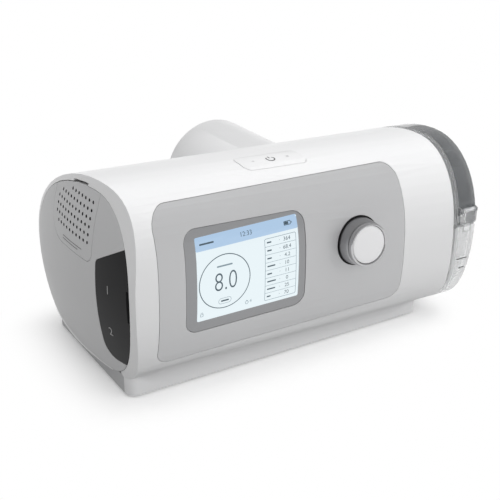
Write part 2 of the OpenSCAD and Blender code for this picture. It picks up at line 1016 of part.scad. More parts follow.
module air_duct() {
    color("gainsboro") centred() {
        duct_x(port_y[0], blower_z[1], duct_x0, bay_x - 2 * bend_r, 0);
        translate([bay_x - 2 * bend_r, port_y[0], blower_z[1] + bend_r])
            rotate([90, 0, 0])
                bend(-90);
        translate([bay_x, port_y[0], blower_z[1] + bend_r])
            rotate([90, 0, 0])
                bend(90);
        duct_x(port_y[0], port_z, bay_x - 2, bay_x, 3);
    }
}

module port_seals() {
    color("dimgray") centred()
        for (y = port_y)
            difference() {
                rod_x(y, port_z, duct_r + 2, bay_x + 2, tub_x - 0.2);
                rod_x(y, port_z, duct_in, bay_x, tub_x + 1);
            }
}

module outlet_duct() {
    end_y = recess_y - boss_wall - 4;
    color("gainsboro") centred() {
        translate([bay_x, port_y[1] + bend_r, port_z])
            bend(180);
        duct_y(boss_x, port_z, port_y[1] + bend_r, end_y, 0);
        duct_x(port_y[1], port_z, bay_x - 2, bay_x, 3);
        duct_y(boss_x, port_z, end_y - 2, end_y, 3);
    }
}

module outlet_seal() {
    color("dimgray") centred() difference() {
        rod_y(boss_x, port_z, duct_r + 3, recess_y - boss_wall - 4, recess_y - boss_wall - 3);
        rod_y(boss_x, port_z, duct_in + 0.8, recess_y - 20, recess_y);
    }
}

module outlet_port() {
    port_len = boss_back - recess_y - 0.2;
    color("white") centred()
        translate([boss_x, recess_y, port_z])
            rotate([-90, 0, 0])
                rotate_extrude()
                    polygon([[9.3, -boss_wall - 3], [16, -boss_wall - 3], [16, -boss_wall],
                        [neck_r, -boss_wall], [neck_r, 0.6], [port_d / 2, 0.6],
                        [port_d / 2, port_len - 0.5], [port_d / 2 - 0.5, port_len], [9.3, port_len]]);
}

module dc_inlet() {
    color([0.12, 0.12, 0.12]) centred() difference() {
        union() {
            block([29, 108, 18.5], [41, 115, 30.5]);
            rod_y(35, 24.5, 5.1, 114, 125);
        }
        rod_y(35, 24.5, 3.2, 115, 126);
    }
}

// the bay's outline, drawn in by w: it follows the body above and is a plain box below
module bay_form(x0, x1, w) {
    knee = 40;
    intersection() {
        d_loft(x0, x1, 6 + w);
        block([x0, bay_y[0] + w, knee], [x1, bay_y[1] - w, 130]);
    }
    block([x0, bay_y[0] + w, bay_z + w], [x1, bay_y[1] - w, knee]);
}

module humidifier_bay() {
    color("gainsboro") centred() difference() {
        union() {
            bay_form(bay_x, shell_len - wall, 0);
            d_loft(shell_len - wall, shell_len, wall + 0.15);
        }
        bay_form(bay_x + 2, shell_len + 1, 2);
        for (y = port_y)
            rod_x(y, port_z, duct_in, bay_x - 1, bay_x + 3);
        block([heater_mid[0] - heater[0] / 2, heater_mid[1] - heater[1] / 2, bay_z - 1],
            [heater_mid[0] + heater[0] / 2, heater_mid[1] + heater[1] / 2, bay_z + 3]);
    }
}

module heater_plate() {
    color("silver") centred()
        block([heater_mid[0] - heater[0] / 2, heater_mid[1] - heater[1] / 2, bay_z],
            [heater_mid[0] + heater[0] / 2, heater_mid[1] + heater[1] / 2, tub_z - 0.9]);
}

module heater_pad() {
    reach = [heater[0] / 2 + heater_rim, heater[1] / 2 + heater_rim];
    color("dimgray") centred()
        block([heater_mid[0] - reach[0], heater_mid[1] - reach[1], bay_z - 4],
            [heater_mid[0] + reach[0], heater_mid[1] + reach[1], bay_z]);
}

// space right of the body, between two heights
module chamber_zone(z0, z1) {
    block([shell_len - 30, -60, z0], [far_x + 3, 200, z1]);
}

// a bore or a relief about the lid's pin
module lid_bore(r, x0, x1) {
    rod_x(lid_axis[0], lid_axis[1], r, x0, x1);
}

module chamber_tub() {
    color([0.8, 0.88, 0.9, 0.5]) centred() difference() {
        union() {
            block([tub_x, tub_y[0], tub_z], [chamber_x + 1, tub_y[1], tub_top]);
            intersection() {
                d_loft(chamber_x, far_x, 0);
                right_cap(0);
                chamber_zone(0, tub_top);
            }
            for (x = [chamber_x + 0.4, chamber_x + 9.8])
                hinge_lug(x, x + 4, -1);
        }
        block([tub_x + skin, tub_y[0] + skin, tub_z + skin],
            [chamber_x + chamber_wall + 1, tub_y[1] - skin, tub_top + 5]);
        intersection() {
            d_loft(chamber_x + chamber_wall, far_x + 1, chamber_wall);
            right_cap(chamber_wall);
            chamber_zone(0, 100);
        }
        block([heater_mid[0] - heater[0] / 2 + 3, heater_mid[1] - heater[1] / 2 + 3, tub_z - 1],
            [heater_mid[0] + heater[0] / 2 - 3, heater_mid[1] + heater[1] / 2 - 3, tub_z + 5]);
        lid_bore(1.2, shell_len - 2, far_x);
        lid_bore(3, chamber_x + 4.4, chamber_x + 9.8);
    }
}

// a lug round the lid's pin: side -1 leans on the tub, side 1 on the lid
module hinge_lug(x0, x1, side) {
    rod_x(lid_axis[0], lid_axis[1], 2.6, x0, x1);
    block([x0, lid_axis[0] - 5, side < 0 ? lid_axis[1] - 2.6 : lid_z],
        [x1, lid_axis[0] - (side < 0 ? 0 : 2), side < 0 ? tub_top : lid_axis[1] + 2.6]);
}

module chamber_base() {
    color("silver") centred()
        block([heater_mid[0] - heater[0] / 2, heater_mid[1] - heater[1] / 2 - 2, tub_z - 0.8],
            [heater_mid[0] + heater[0] / 2, heater_mid[1] + heater[1] / 2 + 2, tub_z]);
}

module chamber_cover() {
    color([0.8, 0.88, 0.9, 0.5]) centred() difference() {
        union() {
            intersection() {
                along_x(tub_x, chamber_x + 1)
                    polygon(section(1, 9.5));
                block([tub_x, tub_y[0], tub_top], [chamber_x + 1, tub_y[1], 130]);
            }
            intersection() {
                d_loft(chamber_x, chamber_x + skin, 0);
                chamber_zone(tub_top, 140);
            }
        }
        intersection() {
            along_x(tub_x, chamber_x + 2)
                polygon(section(1, 9.5 + skin));
            block([tub_x + skin, tub_y[0] + skin, 60], [chamber_x, tub_y[1] - skin, 130]);
        }
        for (y = port_y)
            rod_x(y, port_z, duct_in, tub_x - 1, tub_x + 5);
        lid_bore(3, shell_len - 2, far_x);
    }
}

module chamber_lid() {
    color([0.6, 0.62, 0.64, 0.6]) centred() difference() {
        union() {
            difference() {
                intersection() {
                    d_loft(chamber_x + skin + 0.2, far_x, 0);
                    right_cap(0);
                    chamber_zone(lid_z, 140);
                }
                intersection() {
                    d_loft(chamber_x - 5, far_x + 1, chamber_wall);
                    right_cap(chamber_wall);
                    chamber_zone(0, 140);
                }
                lid_bore(3, shell_len - 2, chamber_x + 4.7);
                lid_bore(3, chamber_x + 9.5, chamber_x + 14.2);
            }
            hinge_lug(chamber_x + 4.7, chamber_x + 9.5, 1);
            for (x = [latch_x[0] - 1.7, latch_x[1] + 0.2])
                along_x(x, x + 1.5)
                    polygon([[-19, 76], [latch_axis[0], 79.6], [-24.4, 80.4], [-24.4, 82.6],
                        [latch_axis[0], 83.4], [-18, 84]]);
        }
        lid_bore(1.25, shell_len - 2, far_x);
        rod_x(latch_axis[0], latch_axis[1], 1, shell_len - 2, far_x);
    }
}

module lid_seal() {
    color("gray") centred() difference() {
        intersection() {
            d_loft(chamber_x + skin + 0.2, far_x, 0.6);
            right_cap(0.6);
            chamber_zone(tub_top, lid_z);
        }
        intersection() {
            d_loft(chamber_x, far_x + 1, 2.4);
            right_cap(2.4);
        }
        lid_bore(3, shell_len - 2, far_x);
    }
}

module lid_pin() {
    color("silver") centred()
        rod_x(lid_axis[0], lid_axis[1], 1.2, chamber_x + 0.4, chamber_x + 13.8);
}

module chamber_latch() {
    color([0.8, 0.88, 0.9]) centred() difference() {
        union() {
            along_x(latch_x[0], latch_x[1])
                polygon([[-21.6, 73], [-25, 73], [-25.8, 75], [-25.8, 81.5], [-24.6, 83.4],
                    [-22.4, 83.4], [-21.6, 82.6]]);
            // tongue that grips the tub's rim
            along_x(latch_x[0] + 2, latch_x[1] - 2)
                polygon([[-22.4, 66.4], [-21.7, 67.2], [-21.7, 74], [-23.4, 74], [-23.2, 66.4]]);
        }
        rod_x(latch_axis[0], latch_axis[1], 1.05, shell_len - 2, far_x);
    }
}

module latch_pin() {
    color("silver") centred()
        rod_x(latch_axis[0], latch_axis[1], 1, latch_x[0] - 1.7, latch_x[1] + 1.7);
}

front_shell();
rear_shell();
left_end_frame();
base_tray();
rubber_feet();
base_screws();
fascia_panel();
screen_lens();
lcd_module();
main_board();
knob_sleeve();
knob_cap();
knob_shaft();
encoder_body();
encoder_plunger();
start_key();
key_switch();
key_board();
side_cover();
filter_door();
filter_pad();
port_door();
port_panel();
data_socket();
card_socket();
inlet_duct();
inlet_foam();
blower_lower();
blower_upper();
impeller();
motor_shaft();
motor_case();
blower_mounts();
air_duct();
port_seals();
outlet_duct();
outlet_seal();
outlet_port();
dc_inlet();
humidifier_bay();
heater_plate();
heater_pad();
chamber_tub();
chamber_base();
chamber_cover();
chamber_lid();
lid_seal();
lid_pin();
chamber_latch();
latch_pin();
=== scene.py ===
"""Looks of a table-top breathing machine: housing, front panel, doors, air path and water chamber.

Lengths are in metres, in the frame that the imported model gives. Places on the body are written in
millimetres from its own corner, which is the rim of the left end, the front of the plinth and the table.
"""

import json
import logging
import math
from dataclasses import dataclass, field
from enum import Enum
from typing import Optional, Sequence, Union

import bpy
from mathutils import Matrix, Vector

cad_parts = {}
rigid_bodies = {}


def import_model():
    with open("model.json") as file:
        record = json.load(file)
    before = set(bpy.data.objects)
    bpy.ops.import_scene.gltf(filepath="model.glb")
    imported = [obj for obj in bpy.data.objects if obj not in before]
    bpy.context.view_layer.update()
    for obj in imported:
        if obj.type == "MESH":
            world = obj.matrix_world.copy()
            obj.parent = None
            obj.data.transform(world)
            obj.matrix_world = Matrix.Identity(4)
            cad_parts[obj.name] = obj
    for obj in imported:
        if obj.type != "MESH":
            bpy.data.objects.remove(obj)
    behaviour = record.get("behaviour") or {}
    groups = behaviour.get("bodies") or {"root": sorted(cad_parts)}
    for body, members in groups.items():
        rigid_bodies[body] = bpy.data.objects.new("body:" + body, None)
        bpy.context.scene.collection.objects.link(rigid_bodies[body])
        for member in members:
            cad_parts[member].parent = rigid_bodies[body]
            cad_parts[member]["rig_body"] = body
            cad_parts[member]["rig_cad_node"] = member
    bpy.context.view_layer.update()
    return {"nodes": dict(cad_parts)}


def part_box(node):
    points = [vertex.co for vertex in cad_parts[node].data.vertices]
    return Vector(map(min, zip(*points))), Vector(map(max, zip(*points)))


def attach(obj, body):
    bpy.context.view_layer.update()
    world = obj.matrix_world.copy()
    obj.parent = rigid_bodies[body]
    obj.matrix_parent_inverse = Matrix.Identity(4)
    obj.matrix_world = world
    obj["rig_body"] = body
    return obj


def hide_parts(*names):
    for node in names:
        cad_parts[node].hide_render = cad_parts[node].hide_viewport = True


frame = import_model()

log = logging.getLogger("breathing_machine")
MM = 0.001
MERGE_GAP = 0.000002
CUT_GAP = 0.0000001
FLAT_TURN = math.radians(0.3)
FOOT_CORNER = Vector((7, 7, 0)) * MM
BODY_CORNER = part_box("rubber_feet")[0] - FOOT_CORNER
Colour = tuple[float, float, float]
Profile = tuple[tuple[float, float], ...]


def place(x: float, y: float, z: float) -> Vector:
    """A point of the body, given in millimetres from its corner.

    Args:
        x: Millimetres to the right of the left rim.
        y: Millimetres behind the front of the plinth.
        z: Millimetres over the table.

    Returns:
        The point in metres, in the model's frame.
    """
    return BODY_CORNER + Vector((x, y, z)) * MM


class Wire:
    """A shader value that can be used in plain arithmetic."""

    def __init__(self, sheet: "ShaderSheet", socket: bpy.types.NodeSocket) -> None:
        """Keeps the socket and the sheet that it lies on."""
        self.sheet = sheet
        self.socket = socket

    def __add__(self, other: "Value") -> "Wire":
        """Sum of two values."""
        return self.sheet.maths("ADD", self, other)

    def __radd__(self, other: "Value") -> "Wire":
        """Sum, with the number first."""
        return self.sheet.maths("ADD", other, self)

    def __sub__(self, other: "Value") -> "Wire":
        """Difference of two values."""
        return self.sheet.maths("SUBTRACT", self, other)

    def __rsub__(self, other: "Value") -> "Wire":
        """Difference, with the number first."""
        return self.sheet.maths("SUBTRACT", other, self)

    def __mul__(self, other: "Value") -> "Wire":
        """Product of two values."""
        return self.sheet.maths("MULTIPLY", self, other)

    def __rmul__(self, other: "Value") -> "Wire":
        """Product, with the number first."""
        return self.sheet.maths("MULTIPLY", other, self)


Value = Union[Wire, float]
Tint = Union[Wire, Colour]


class ShaderSheet:
    """The node sheet of a new material, or of the world."""

    mix_factor = 0
    mix_first = 6
    mix_second = 7
    mix_result = 2

    def __init__(self, holder: Union[bpy.types.Material, bpy.types.World]) -> None:
        """Empties the holder's sheet.

        Args:
            holder: The new material, or the world.
        """
        holder.use_nodes = True
        self.holder = holder
        self.tree = holder.node_tree
        self.tree.nodes.clear()

    @classmethod
    def of_material(cls, name: str) -> "ShaderSheet":
        """Makes the sheet of a new material of this name."""
        return cls(bpy.data.materials.new(name))

    def node(
        self,
        kind: str,
        settings: Optional[dict] = None,
        inputs: Optional[dict] = None,
        output: Union[int, str] = 0,
    ) -> Wire:
        """Adds one node.

        Args:
            kind: The node's type.
            settings: Its settings, which are set before its sockets.
            inputs: A value or a wire for each socket that differs from its default.
            output: The output that is handed back.

        Returns:
            The wire that leaves the node.
        """
        made = self.tree.nodes.new(kind)
        for key, value in (settings or {}).items():
            setattr(made, key, value)
        for key, value in (inputs or {}).items():
            if isinstance(value, Wire):
                self.tree.links.new(value.socket, made.inputs[key])
            else:
                made.inputs[key].default_value = value
        return Wire(self, made.outputs[output])

    def maths(self, operation: str, *values: Value) -> Wire:
        """Adds one Math node on these values."""
        return self.node("ShaderNodeMath", {"operation": operation}, dict(enumerate(values)))

    def seen_by(self, *rays: str) -> Wire:
        """One for these kinds of ray, and nought for the others.

        Args:
            rays: Names of the Light Path node's outputs.

        Returns:
            The share, nought or one.
        """
        share, *others = (self.node("ShaderNodeLightPath", output=ray) for ray in rays)
        for other in others:
            share = self.maths("MAXIMUM", share, other)
        return share

    def grain(self, scale: float, detail: float = 2.0, stretch: Sequence[float] = (1, 1, 1)) -> Wire:
        """A noise fixed to the piece.

        Args:
            scale: Grains per metre.
            detail: Layers of finer noise.
            stretch: Shares of the scale along X, Y and Z.

        Returns:
            The noise, from nought to one.
        """
        where = self.node("ShaderNodeTexCoord", output="Object")
        turned = self.node("ShaderNodeMapping", inputs={"Vector": where, "Scale": tuple(stretch)})
        inputs = {"Vector": turned, "Scale": scale, "Detail": detail}
        return self.node("ShaderNodeTexNoise", inputs=inputs)

    def bump(self, height: Wire, depth: float, strength: float = 1.0) -> Wire:
        """The normal of a relief of this depth in metres."""
        inputs = {"Height": height, "Distance": depth, "Strength": strength}
        return self.node("ShaderNodeBump", inputs=inputs)

    def blend(self, share: Value, first: Tint, second: Tint) -> Wire:
        """Mixes two colours.

        Args:
            share: Share of the second colour, from nought to one.
            first: The first colour.
            second: The second colour.

        Returns:
            The mixed colour.
        """
        ends = [colour if isinstance(colour, Wire) else (*colour, 1.0) for colour in (first, second)]
        inputs = {self.mix_factor: share, self.mix_first: ends[0], self.mix_second: ends[1]}
        return self.node("ShaderNodeMix", {"data_type": "RGBA"}, inputs, self.mix_result)

    def finish(self, surface: Wire, kind: str = "ShaderNodeOutputMaterial") -> bpy.types.ID:
        """Wires the surface to the output.

        Args:
            surface: The shader of the surface, or of the world.
            kind: The output node's type.

        Returns:
            The material or the world.
        """
        output = self.tree.nodes.new(kind)
        self.tree.links.new(surface.socket, output.inputs["Surface"])
        return self.holder

    def principled(self, **inputs: object) -> bpy.types.Material:
        """The finished material of one Principled shader with these sockets, spaces as underscores."""
        named = {key.replace("_", " "): value for key, value in inputs.items()}
        return self.finish(self.node("ShaderNodeBsdfPrincipled", inputs=named))


def shaded(colour: Colour, share: float, lift: float = 0.0) -> Colour:
    """A colour times a share, with a little added, and no brighter than one."""
    return tuple(min(1.0, part * share + lift) for part in colour)


@dataclass(frozen=True)
class Moulded:
    """Moulded plastic with a fine spark-eroded grain."""

    name: str
    colour: Colour
    roughness: float = 0.36
    grain_depth: float = 0.00002
    ior: float = 1.49
    grains: float = 2600
    clouds: float = 14
    patches: float = 60

    def material(self) -> bpy.types.Material:
        """Builds the material."""
        sheet = ShaderSheet.of_material(self.name)
        tint = sheet.grain(self.clouds, 3)
        fine = sheet.grain(self.grains, 1)
        return sheet.principled(
            Base_Color=sheet.blend(tint, shaded(self.colour, 0.965), self.colour),
            Roughness=self.roughness + sheet.grain(self.patches) * 0.08 - 0.04,
            IOR=self.ior,
            Normal=sheet.bump(fine, self.grain_depth, 0.6),
        )


@dataclass(frozen=True)
class SilverPaint:
    """Silver lacquer with a very fine metal flake."""

    name: str
    colour: Colour
    roughness: float = 0.38
    metallic: float = 0.55
    coat: float = 0.15
    flakes: float = 5200
    flake_depth: float = 0.000008

    def material(self) -> bpy.types.Material:
        """Builds the material."""
        sheet = ShaderSheet.of_material(self.name)
        flake = sheet.grain(self.flakes, 1)
        cloud = sheet.grain(22, 2)
        dark, bright = shaded(self.colour, 0.94), shaded(self.colour, 1.06)
        return sheet.principled(
            Base_Color=sheet.blend(flake * 0.5 + cloud * 0.5, dark, bright),
            Metallic=self.metallic,
            Roughness=self.roughness + flake * 0.1 - 0.05,
            Coat_Weight=self.coat,
            Coat_Roughness=0.1,
            Normal=sheet.bump(flake, self.flake_depth, 0.5),
        )


@dataclass(frozen=True)
class TurnedMetal:
    """Metal with turning or grinding marks along one direction."""

    name: str
    colour: Colour
    roughness: float = 0.25
    stretch: tuple[float, float, float] = (1, 1, 1)
    lines: float = 1800
    line_depth: float = 0.00001

    def material(self) -> bpy.types.Material:
        """Builds the material."""
        sheet = ShaderSheet.of_material(self.name)
        marks = sheet.grain(self.lines, 2, self.stretch)
        return sheet.principled(
            Base_Color=sheet.blend(marks, shaded(self.colour, 0.86), self.colour),
            Metallic=1.0,
            Roughness=self.roughness + marks * 0.16 - 0.08,
            Normal=sheet.bump(marks, self.line_depth, 0.5),
        )


@dataclass(frozen=True)
class Clear:
    """Clear or tinted plastic that one sees through."""

    name: str
    colour: Colour
    roughness: float = 0.04
    ior: float = 1.4
    alpha: float = 0.55
    clearness: float = 0.82
    waves: float = 45
    wave_depth: float = 0.00015

    def material(self) -> bpy.types.Material:
        """Builds the material."""
        sheet = ShaderSheet.of_material(self.name)
        wave = sheet.grain(self.waves, 1)
        return sheet.principled(
            Base_Color=(*self.colour, 1.0),
            Roughness=self.roughness,
            Transmission_Weight=self.clearness,
            Alpha=self.alpha,
            IOR=self.ior,
            Normal=sheet.bump(wave, self.wave_depth, 0.35),
        )


@dataclass(frozen=True)
class Soft:
    """Rubber, foam or fleece: dull, with pores or fibres."""

    name: str
    colour: Colour
    pores: float
    depth: float
    roughness: float = 0.75

    def material(self) -> bpy.types.Material:
        """Builds the material."""
        sheet = ShaderSheet.of_material(self.name)
        pores = sheet.grain(self.pores, 3)
        return sheet.principled(
            Base_Color=sheet.blend(pores, shaded(self.colour, 0.7), self.colour),
            Roughness=self.roughness,
            Normal=sheet.bump(pores, self.depth),
        )


@dataclass(frozen=True)
class BoardLacquer:
    """Solder lacquer over a printed board, with its tracks showing faintly."""

    name: str
    colour: Colour

    def material(self) -> bpy.types.Material:
        """Builds the material."""
        sheet = ShaderSheet.of_material(self.name)
        where = sheet.node("ShaderNodeTexCoord", output="Object")
        tracks = sheet.node(
            "ShaderNodeTexBrick",
            {"offset": 0.37, "squash": 0.6},
            {"Vector": where, "Scale": 240.0, "Mortar Size": 0.06},
            "Fac",
        )
        return sheet.principled(
            Base_Color=sheet.blend(tracks, self.colour, shaded(self.colour, 1.8, 0.02)),
            Roughness=0.32,
            Coat_Weight=0.3,
            Normal=sheet.bump(tracks, 0.00003),
        )


@dataclass(frozen=True)
class Lit:
    """A part of the lit display, under the gloss of its cover."""

    name: str
    colour: Colour
    strength: float = 0.92
    dots: float = 3600

    def material(self) -> bpy.types.Material:
        """Builds the material."""
        sheet = ShaderSheet.of_material(self.name)
        dots = sheet.grain(self.dots, 0)
        return sheet.principled(
            Base_Color=(0.02, 0.02, 0.02, 1.0),
            Roughness=0.3,
            Emission_Color=sheet.blend(dots, shaded(self.colour, 0.97), self.colour),
            Emission_Strength=self.strength,
            Coat_Weight=0.5,
            Coat_Roughness=0.06,
        )


WHITE = Moulded("white_plastic", (0.82, 0.822, 0.828), 0.3)
# A darker copy of the white plastic: painted shade on the left end, which faces away from the lamps.
END_PAINTED_SHADE = Moulded("end_plastic", (0.58, 0.582, 0.588), 0.42)
# A darker copy of the white plastic for the plinth: painted shade low on the machine.
PLINTH_PAINTED_SHADE = Moulded("plinth_plastic_painted_shade", (0.5, 0.502, 0.51), 0.45)
DUCT = Moulded("duct_plastic", (0.62, 0.63, 0.64), 0.5)
DARK = Moulded("dark_plastic", (0.03, 0.03, 0.032), 0.5)
# Black gloss: the port door's own colour; the knob's black rings in it are painted shade.
BLACK = Moulded("black_gloss", (0.014, 0.014, 0.015), 0.45, 0.00001, ior=1.22)
CAP = Moulded("cap_white", (0.86, 0.86, 0.87), 0.3)
SILVER = SilverPaint("silver_paint", (0.58, 0.582, 0.59), 0.5, 0.42, 0.0)
LENS_PRINT = SilverPaint("lens_print", (0.32, 0.323, 0.333), 0.4, 0.4, 0.2)
BRIGHT = TurnedMetal("bright_metal", (0.56, 0.56, 0.57), 0.12, (1, 1, 0.04))
SATIN = TurnedMetal("satin_metal", (0.42, 0.42, 0.43), 0.34, (1, 0.04, 1))
STEEL = TurnedMetal("steel", (0.6, 0.6, 0.62), 0.28)
ALUMINIUM = TurnedMetal("aluminium", (0.72, 0.72, 0.73), 0.35, (0.05, 1, 1))
CLEAR = Clear("clear_plastic", (0.95, 0.96, 0.965))
SMOKE = Clear("smoke_plastic", (0.31, 0.32, 0.33), alpha=0.9)
FROSTED = Clear("frosted_plastic", (0.74, 0.745, 0.75), 0.4, alpha=0.9)
RUBBER = Soft("rubber", (0.03, 0.03, 0.03), 900, 0.00005)
SEAL = Soft("rubber_grey", (0.42, 0.43, 0.44), 900, 0.00005, 0.6)
FOAM = Soft("foam", (0.09, 0.09, 0.095), 1400, 0.0006, 0.95)
FLEECE = Soft("fleece", (0.11, 0.11, 0.11), 2600, 0.0004, 0.95)
BOARD = BoardLacquer("board", (0.02, 0.13, 0.05))
PAGE = Lit("page_light", (0.84, 0.94, 0.98))
HEADER = Lit("header_light", (0.43, 0.61, 0.83))
INK = Lit("dark_ink", (0.03, 0.07, 0.1))
PALE_INK = Lit("pale_ink", (0.2, 0.28, 0.33))
PRINT = Moulded("grey_print", (0.06, 0.06, 0.062), 0.5)
FAINT_PRINT = Moulded("faint_print", (0.6, 0.6, 0.61), 0.5)
MARK_PRINT = Moulded("mark_print", (0.04, 0.04, 0.042), 0.5)
DOOR_PRINT = Moulded("door_print", (0.36, 0.36, 0.36), 0.5)
# Painted shade for the walls of the filter door's holes.
HOLE_SHADE = Moulded("hole_shade", (0.03, 0.03, 0.031), 0.8)


class Paint:
    """Keeps each finish's material, so that it is built once."""

    made: dict[str, bpy.types.Material] = {}

    @classmethod
    def of(cls, finish: "Finish") -> bpy.types.Material:
        """The material of a finish."""
        if finish.name not in cls.made:
            cls.made[finish.name] = finish.material()
        return cls.made[finish.name]

    @classmethod
    def on(cls, piece: bpy.types.Object, finish: "Finish") -> None:
        """Gives a piece this finish on all its faces.

        Args:
            piece: The piece.
            finish: What it is finished in.
        """
        if not piece.material_slots:
            piece.data.materials.append(cls.of(finish))
        for slot in piece.material_slots:
            slot.material = cls.of(finish)

    @classmethod
    def also(cls, piece: bpy.types.Object, finish: "Finish", faces: Sequence[int]) -> None:
        """Gives some faces of a piece a further finish.

        Args:
            piece: The piece.
            finish: The further finish.
            faces: Numbers of the faces that take it.
        """
        piece.data.materials.append(cls.of(finish))
        for number in faces:
            piece.data.polygons[number].material_index = len(piece.data.materials) - 1


Finish = Union[Moulded, SilverPaint, TurnedMetal, Clear, Soft, BoardLacquer, Lit]


def pick_nothing() -> None:
    """Leaves edit mode and deselects every object."""
    if bpy.context.object and bpy.context.object.mode != "OBJECT":
        bpy.ops.object.mode_set(mode="OBJECT")
    bpy.ops.object.select_all(action="DESELECT")


def pick(piece: bpy.types.Object) -> None:
    """Makes a piece the only selected object, and the active one.

    Args:
        piece: The piece.
    """
    pick_nothing()
    piece.select_set(True)
    bpy.context.view_layer.objects.active = piece


def edit_all() -> None:
    """Opens the active object for editing, with all of it selected."""
    bpy.ops.object.mode_set(mode="EDIT")
    bpy.ops.mesh.select_all(action="SELECT")


def cut(where: Vector, across: Sequence[float]) -> None:
    """Cuts the open mesh along a plane and keeps both sides.

    Args:
        where: A point of the plane.
        across: The direction square to the plane.
    """
    bpy.ops.mesh.select_all(action="SELECT")
    bpy.ops.mesh.bisect(plane_co=where, plane_no=across, threshold=CUT_GAP)


def settle(piece: bpy.types.Object, name: str) -> bpy.types.Object:
    """Names a piece and moves its place into its mesh.

    Args:
        piece: The piece.
        name: Its name, which its mesh takes too.

    Returns:
        The same piece.
    """
    pick(piece)
    bpy.ops.object.transform_apply(location=True, rotation=True, scale=True)
    piece.name = name
    piece.data.name = name
    return piece


def apply_all(piece: bpy.types.Object) -> None:
    """Applies the piece's modifiers in their order."""
    pick(piece)
    for modifier in list(piece.modifiers):
        bpy.ops.object.modifier_apply(modifier=modifier.name)


def bevel(piece: bpy.types.Object, width: float, segments: int = 2, angle: float = 35) -> None:
    """Rounds the edges that turn more than the angle.

    Args:
        piece: The piece whose edges are rounded.
        width: Width of the rounding in millimetres.
        segments: Faces across the rounding.
        angle: Least turn in degrees of an edge that is rounded.
    """
    modifier = piece.modifiers.new("rounding", "BEVEL")
    modifier.width = width * MM
    modifier.segments = segments
    modifier.limit_method = "ANGLE"
    modifier.angle_limit = math.radians(angle)
    modifier.use_clamp_overlap = True
    apply_all(piece)


def smooth(piece: bpy.types.Object, angle: float = 32) -> None:
    """Shades the piece smooth over edges that turn less than the angle in degrees."""
    pick(piece)
    bpy.ops.object.shade_smooth_by_angle(angle=math.radians(angle))


def body_of(node: str) -> str:
    """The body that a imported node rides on."""
    return frame["nodes"][node]["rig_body"]


def skin_of(node: str, finish: Finish, rounding: float = 0.0) -> bpy.types.Object:
    """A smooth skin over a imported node, which it stands for.

    Args:
        node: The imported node.
        finish: What the skin is finished in.
        rounding: Width in millimetres of the rounding on its edges.

    Returns:
        The new piece, on the node's own body.
    """
    pick(frame["nodes"][node])
    bpy.ops.object.duplicate(linked=False)
    piece = bpy.context.object
    piece.parent = None
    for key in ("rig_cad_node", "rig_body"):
        del piece[key]
    bpy.ops.mesh.customdata_custom_splitnormals_clear()
    edit_all()
    bpy.ops.mesh.remove_doubles(threshold=MERGE_GAP)
    bpy.ops.mesh.dissolve_limited(angle_limit=FLAT_TURN)
    bpy.ops.object.mode_set(mode="OBJECT")
    settle(piece, node + "_skin")
    if rounding:
        bevel(piece, rounding)
    smooth(piece)
    Paint.on(piece, finish)
    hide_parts(node)
    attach(piece, body_of(node))
    return piece


def turned(name: str, profile: Profile, sides: int = 96, thinnest: float = 0.001) -> bpy.types.Object:
    """Turns a profile round the Z axis, ring by ring, as on a lathe.

    Args:
        name: The new piece's name.
        profile: Radius and height of each ring in millimetres. A profile that starts and ends
            on the axis, or ends where it starts, gives a closed piece.
        sides: Faces round the piece.
        thinnest: Radius that stands for a point on the axis, in millimetres.

    Returns:
        The piece, with its axis on the world's Z axis.
    """
    radius, height = profile[0]
    pick_nothing()
    bpy.ops.mesh.primitive_circle_add(vertices=sides, radius=max(radius, thinnest) * MM)
    piece = bpy.context.object
    edit_all()
    bpy.ops.transform.translate(value=(0, 0, height * MM))
    for next_radius, next_height in profile[1:]:
        rise = (0, 0, (next_height - height) * MM)
        bpy.ops.mesh.extrude_region_move(TRANSFORM_OT_translate={"value": rise})
        share = max(next_radius, thinnest) / max(radius, thinnest)
        middle = (0, 0, next_height * MM)
        bpy.ops.transform.resize(value=(share, share, 1), center_override=middle)
        radius, height = next_radius, next_height
    bpy.ops.mesh.select_all(action="SELECT")
    bpy.ops.mesh.remove_doubles(threshold=0.000005)
    bpy.ops.mesh.normals_make_consistent(inside=False)
    bpy.ops.object.mode_set(mode="OBJECT")
    piece.name = name
    piece.data.name = name
    return piece


class Facing(Enum):
    """Which way artwork looks: its turn in degrees, and the axis along which it is laid on."""

    FRONT = ((90, 0, 0), "Y")
    TOP = ((0, 0, 0), "Z")
    LEFT = ((90, 0, -90), "X")


